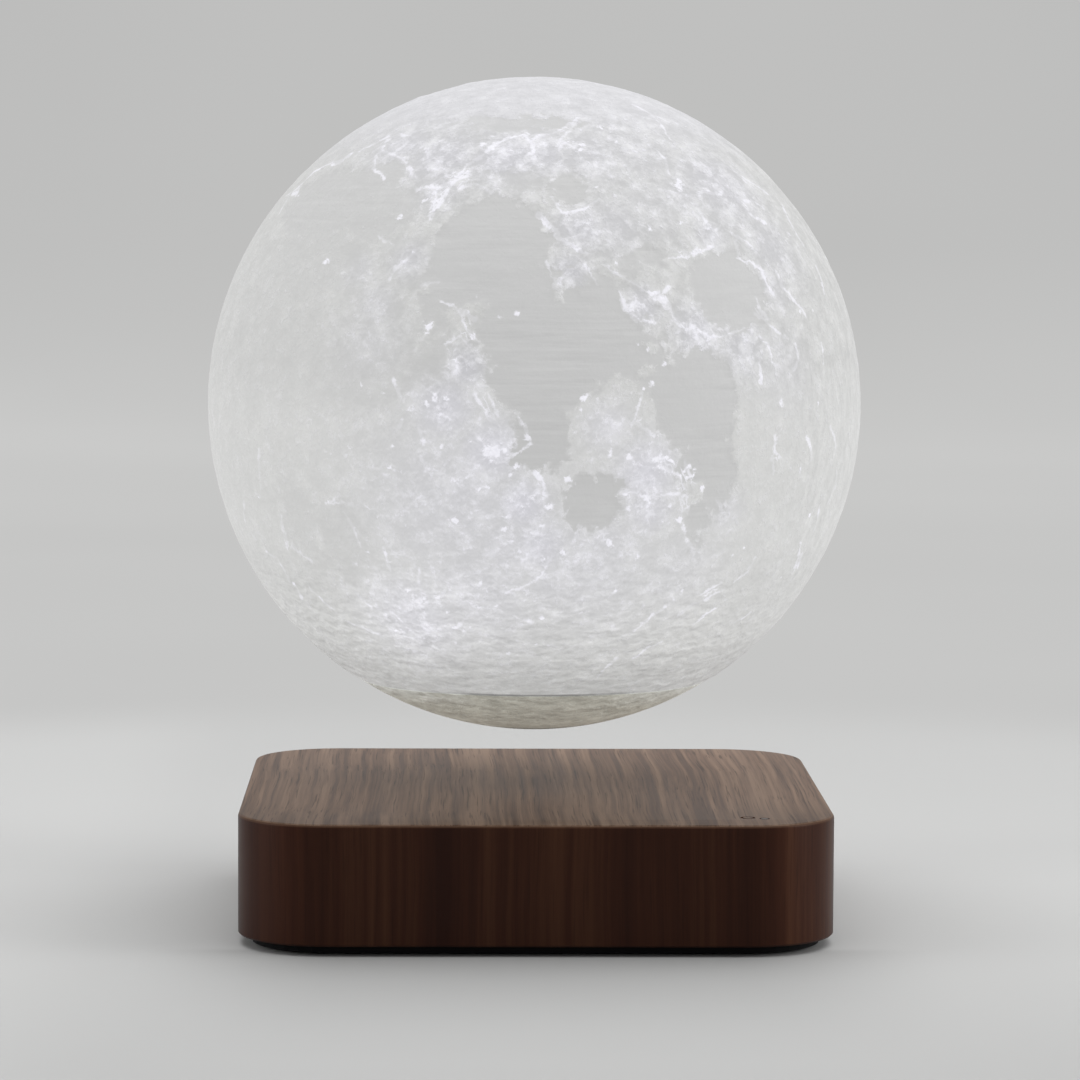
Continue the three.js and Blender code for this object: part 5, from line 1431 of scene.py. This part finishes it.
# %% [markdown]
# The CAD nodes that stay get finishes of their own. Moulded plastic has a fine grain,
# turned or rolled metal has brushed lines, a circuit board shows its tracks under green
# lacquer, and a coil shows its wire: in layers up its side, or in rings if it is flat.
# Each is a small recipe with noise or waves in it, because a single flat colour never
# looks like a real surface.

# %% Recipes for the other pieces
def plastic(name, colour, roughness, grain=1800, shine=0.4):
    skin = Finish(name, Roughness=roughness, Specular_IOR_Level=shine)
    speck = skin.noise(skin.place(), grain, 2)
    darker = tuple(0.82 * value for value in colour)
    tone = skin.ramp(speck, (0.3, darker), (0.7, colour))
    return skin.wear(Base_Color=tone, Normal=skin.bump(speck, 0.00004, 0.4))


def metal(name, colour, roughness, scale=(1.0, 1.0, 1.0)):
    skin = Finish(name, Metallic=1.0)
    lines = skin.noise(skin.stretched(skin.place(), scale), 900, 3)
    darker = tuple(0.7 * value for value in colour)
    return skin.wear(
        Base_Color=skin.ramp(lines, (0.3, darker), (0.7, colour)),
        Roughness=skin.remap(lines, 0.3, 0.7, roughness * 0.8, roughness * 1.2),
        Normal=skin.bump(lines, 0.00003, 0.3),
    )


def circuit_board():
    skin = Finish("circuit_board_lacquer", Roughness=0.32, Specular_IOR_Level=0.5)
    place = skin.place()
    tracks = skin.add("TexBrick", {
        "Vector": skin.stretched(place, (1.0, 1.0, 0.0)), "Scale": 90.0, "Mortar Size": 0.05,
        "Color1": (0.010, 0.075, 0.030), "Color2": (0.013, 0.090, 0.038),
        "Mortar": (0.022, 0.150, 0.060),
    }).outputs[0]
    speck = skin.noise(place, 1500, 2)
    return skin.wear(Base_Color=skin.mix(speck, tracks, (0.016, 0.11, 0.05)))


def winding(name, turns_per_metre, flat=False):
    skin = Finish(name, Metallic=0.85)
    place = skin.place()
    if flat:
        place = skin.stretched(place, (1.0, 1.0, 0.0))
    wire = skin.add(
        "TexWave", {"Vector": place, "Scale": turns_per_metre},
        wave_type="RINGS" if flat else "BANDS", bands_direction="Z", rings_direction="Z",
    ).outputs["Fac"]
    tone = skin.ramp(wire, (0.1, (0.16, 0.055, 0.018)), (0.7, (0.62, 0.27, 0.12)))
    return skin.wear(Base_Color=tone, Roughness=0.32, Normal=skin.bump(wire, 0.0002, 0.8))


# %% [markdown]
# Each CAD node takes its finish by the first part of its name, so that the copies of a
# piece, such as the four coils, look alike. Most of these pieces are hidden inside, but
# they show when the part is taken apart, so none is left bare.

# %% Finishes of the other pieces
CHIP_BLACK = (0.010, 0.010, 0.011)
SCREW_GREY = (0.42, 0.42, 0.43)
ALUMINIUM = (0.62, 0.63, 0.64)
AMBER = (0.80, 0.72, 0.48)
finishes = {
    "bottom_plate": plastic("plinth_black_plastic", (0.0042, 0.0042, 0.0046), 0.6, shine=0.1),
    "power_jack": plastic("socket_black_plastic", (0.012, 0.012, 0.013), 0.4),
    "rubber_foot": plastic("foot_rubber", (0.009, 0.009, 0.0095), 0.85, 900),
    "plate_screw": metal("screw_steel", SCREW_GREY, 0.32),
    "module_screw": metal("module_screw_steel", SCREW_GREY, 0.32),
    "carrier_screw": metal("carrier_screw_steel", SCREW_GREY, 0.32),
    "coil_core": metal("core_iron", (0.30, 0.30, 0.31), 0.45),
    "yoke_plate": metal("yoke_steel", (0.36, 0.36, 0.37), 0.4, (1.0, 14.0, 1.0)),
    "jack_pin": metal("pin_nickel", (0.62, 0.58, 0.5), 0.22),
    "module_tray": plastic("tray_grey_plastic", (0.024, 0.026, 0.030), 0.5),
    "ring_magnet": plastic("ring_ferrite", (0.042, 0.042, 0.045), 0.6, 700),
    "power_coil": winding("power_coil_copper", 420, flat=True),
    "coil_bobbin": plastic("bobbin_plastic", (0.66, 0.63, 0.53), 0.45),
    "coil_winding": winding("steering_coil_copper", 420),
    "position_sensor": plastic("sensor_resin", CHIP_BLACK, 0.4),
    "touch_pad": metal("touch_pad_copper", (0.62, 0.27, 0.12), 0.3),
    "touch_chip": plastic("touch_chip_resin", CHIP_BLACK, 0.4),
    "touch_ribbon": plastic("ribbon_plastic", (0.62, 0.6, 0.5), 0.5),
    "control_chip": plastic("chip_resin", CHIP_BLACK, 0.4),
    "drive_transistor": plastic("transistor_resin", (0.011, 0.011, 0.012), 0.42),
    "power_inductor": plastic("inductor_ferrite", (0.05, 0.05, 0.052), 0.65, 700),
    "smoothing_capacitor": metal("can_aluminium", ALUMINIUM, 0.25),
    "disc_magnet": metal("magnet_nickel", (0.55, 0.54, 0.52), 0.18),
    "receiver_coil": winding("receiver_coil_copper", 520, flat=True),
    "carrier_disc": plastic("carrier_white_plastic", (0.72, 0.72, 0.70), 0.5),
    "rectifier_chip": plastic("rectifier_resin", CHIP_BLACK, 0.4),
    "light_post": metal("post_aluminium", ALUMINIUM, 0.3, (1.0, 1.0, 12.0)),
    "light_board": metal("light_board_aluminium", (0.66, 0.67, 0.68), 0.35),
    "light_dome": plastic("dome_resin", AMBER, 0.2),
    "key_light": plastic("key_light_resin", AMBER, 0.25),
    "light_pipe": plastic("light_pipe_plastic", (0.028, 0.018, 0.014), 0.3),
}
for stem in ("main_board", "touch_board", "sensor_board", "receiver_board"):
    finishes[stem] = circuit_board()
dressed = 0
for name, node in nodes.items():
    if node.hide_render:
        continue
    stem = name.rstrip("0123456789").rstrip("_")
    node.data.materials.clear()
    node.data.materials.append(finishes[stem])
    dressed += 1
print(dressed, "CAD nodes dressed with", len(finishes), "finishes")
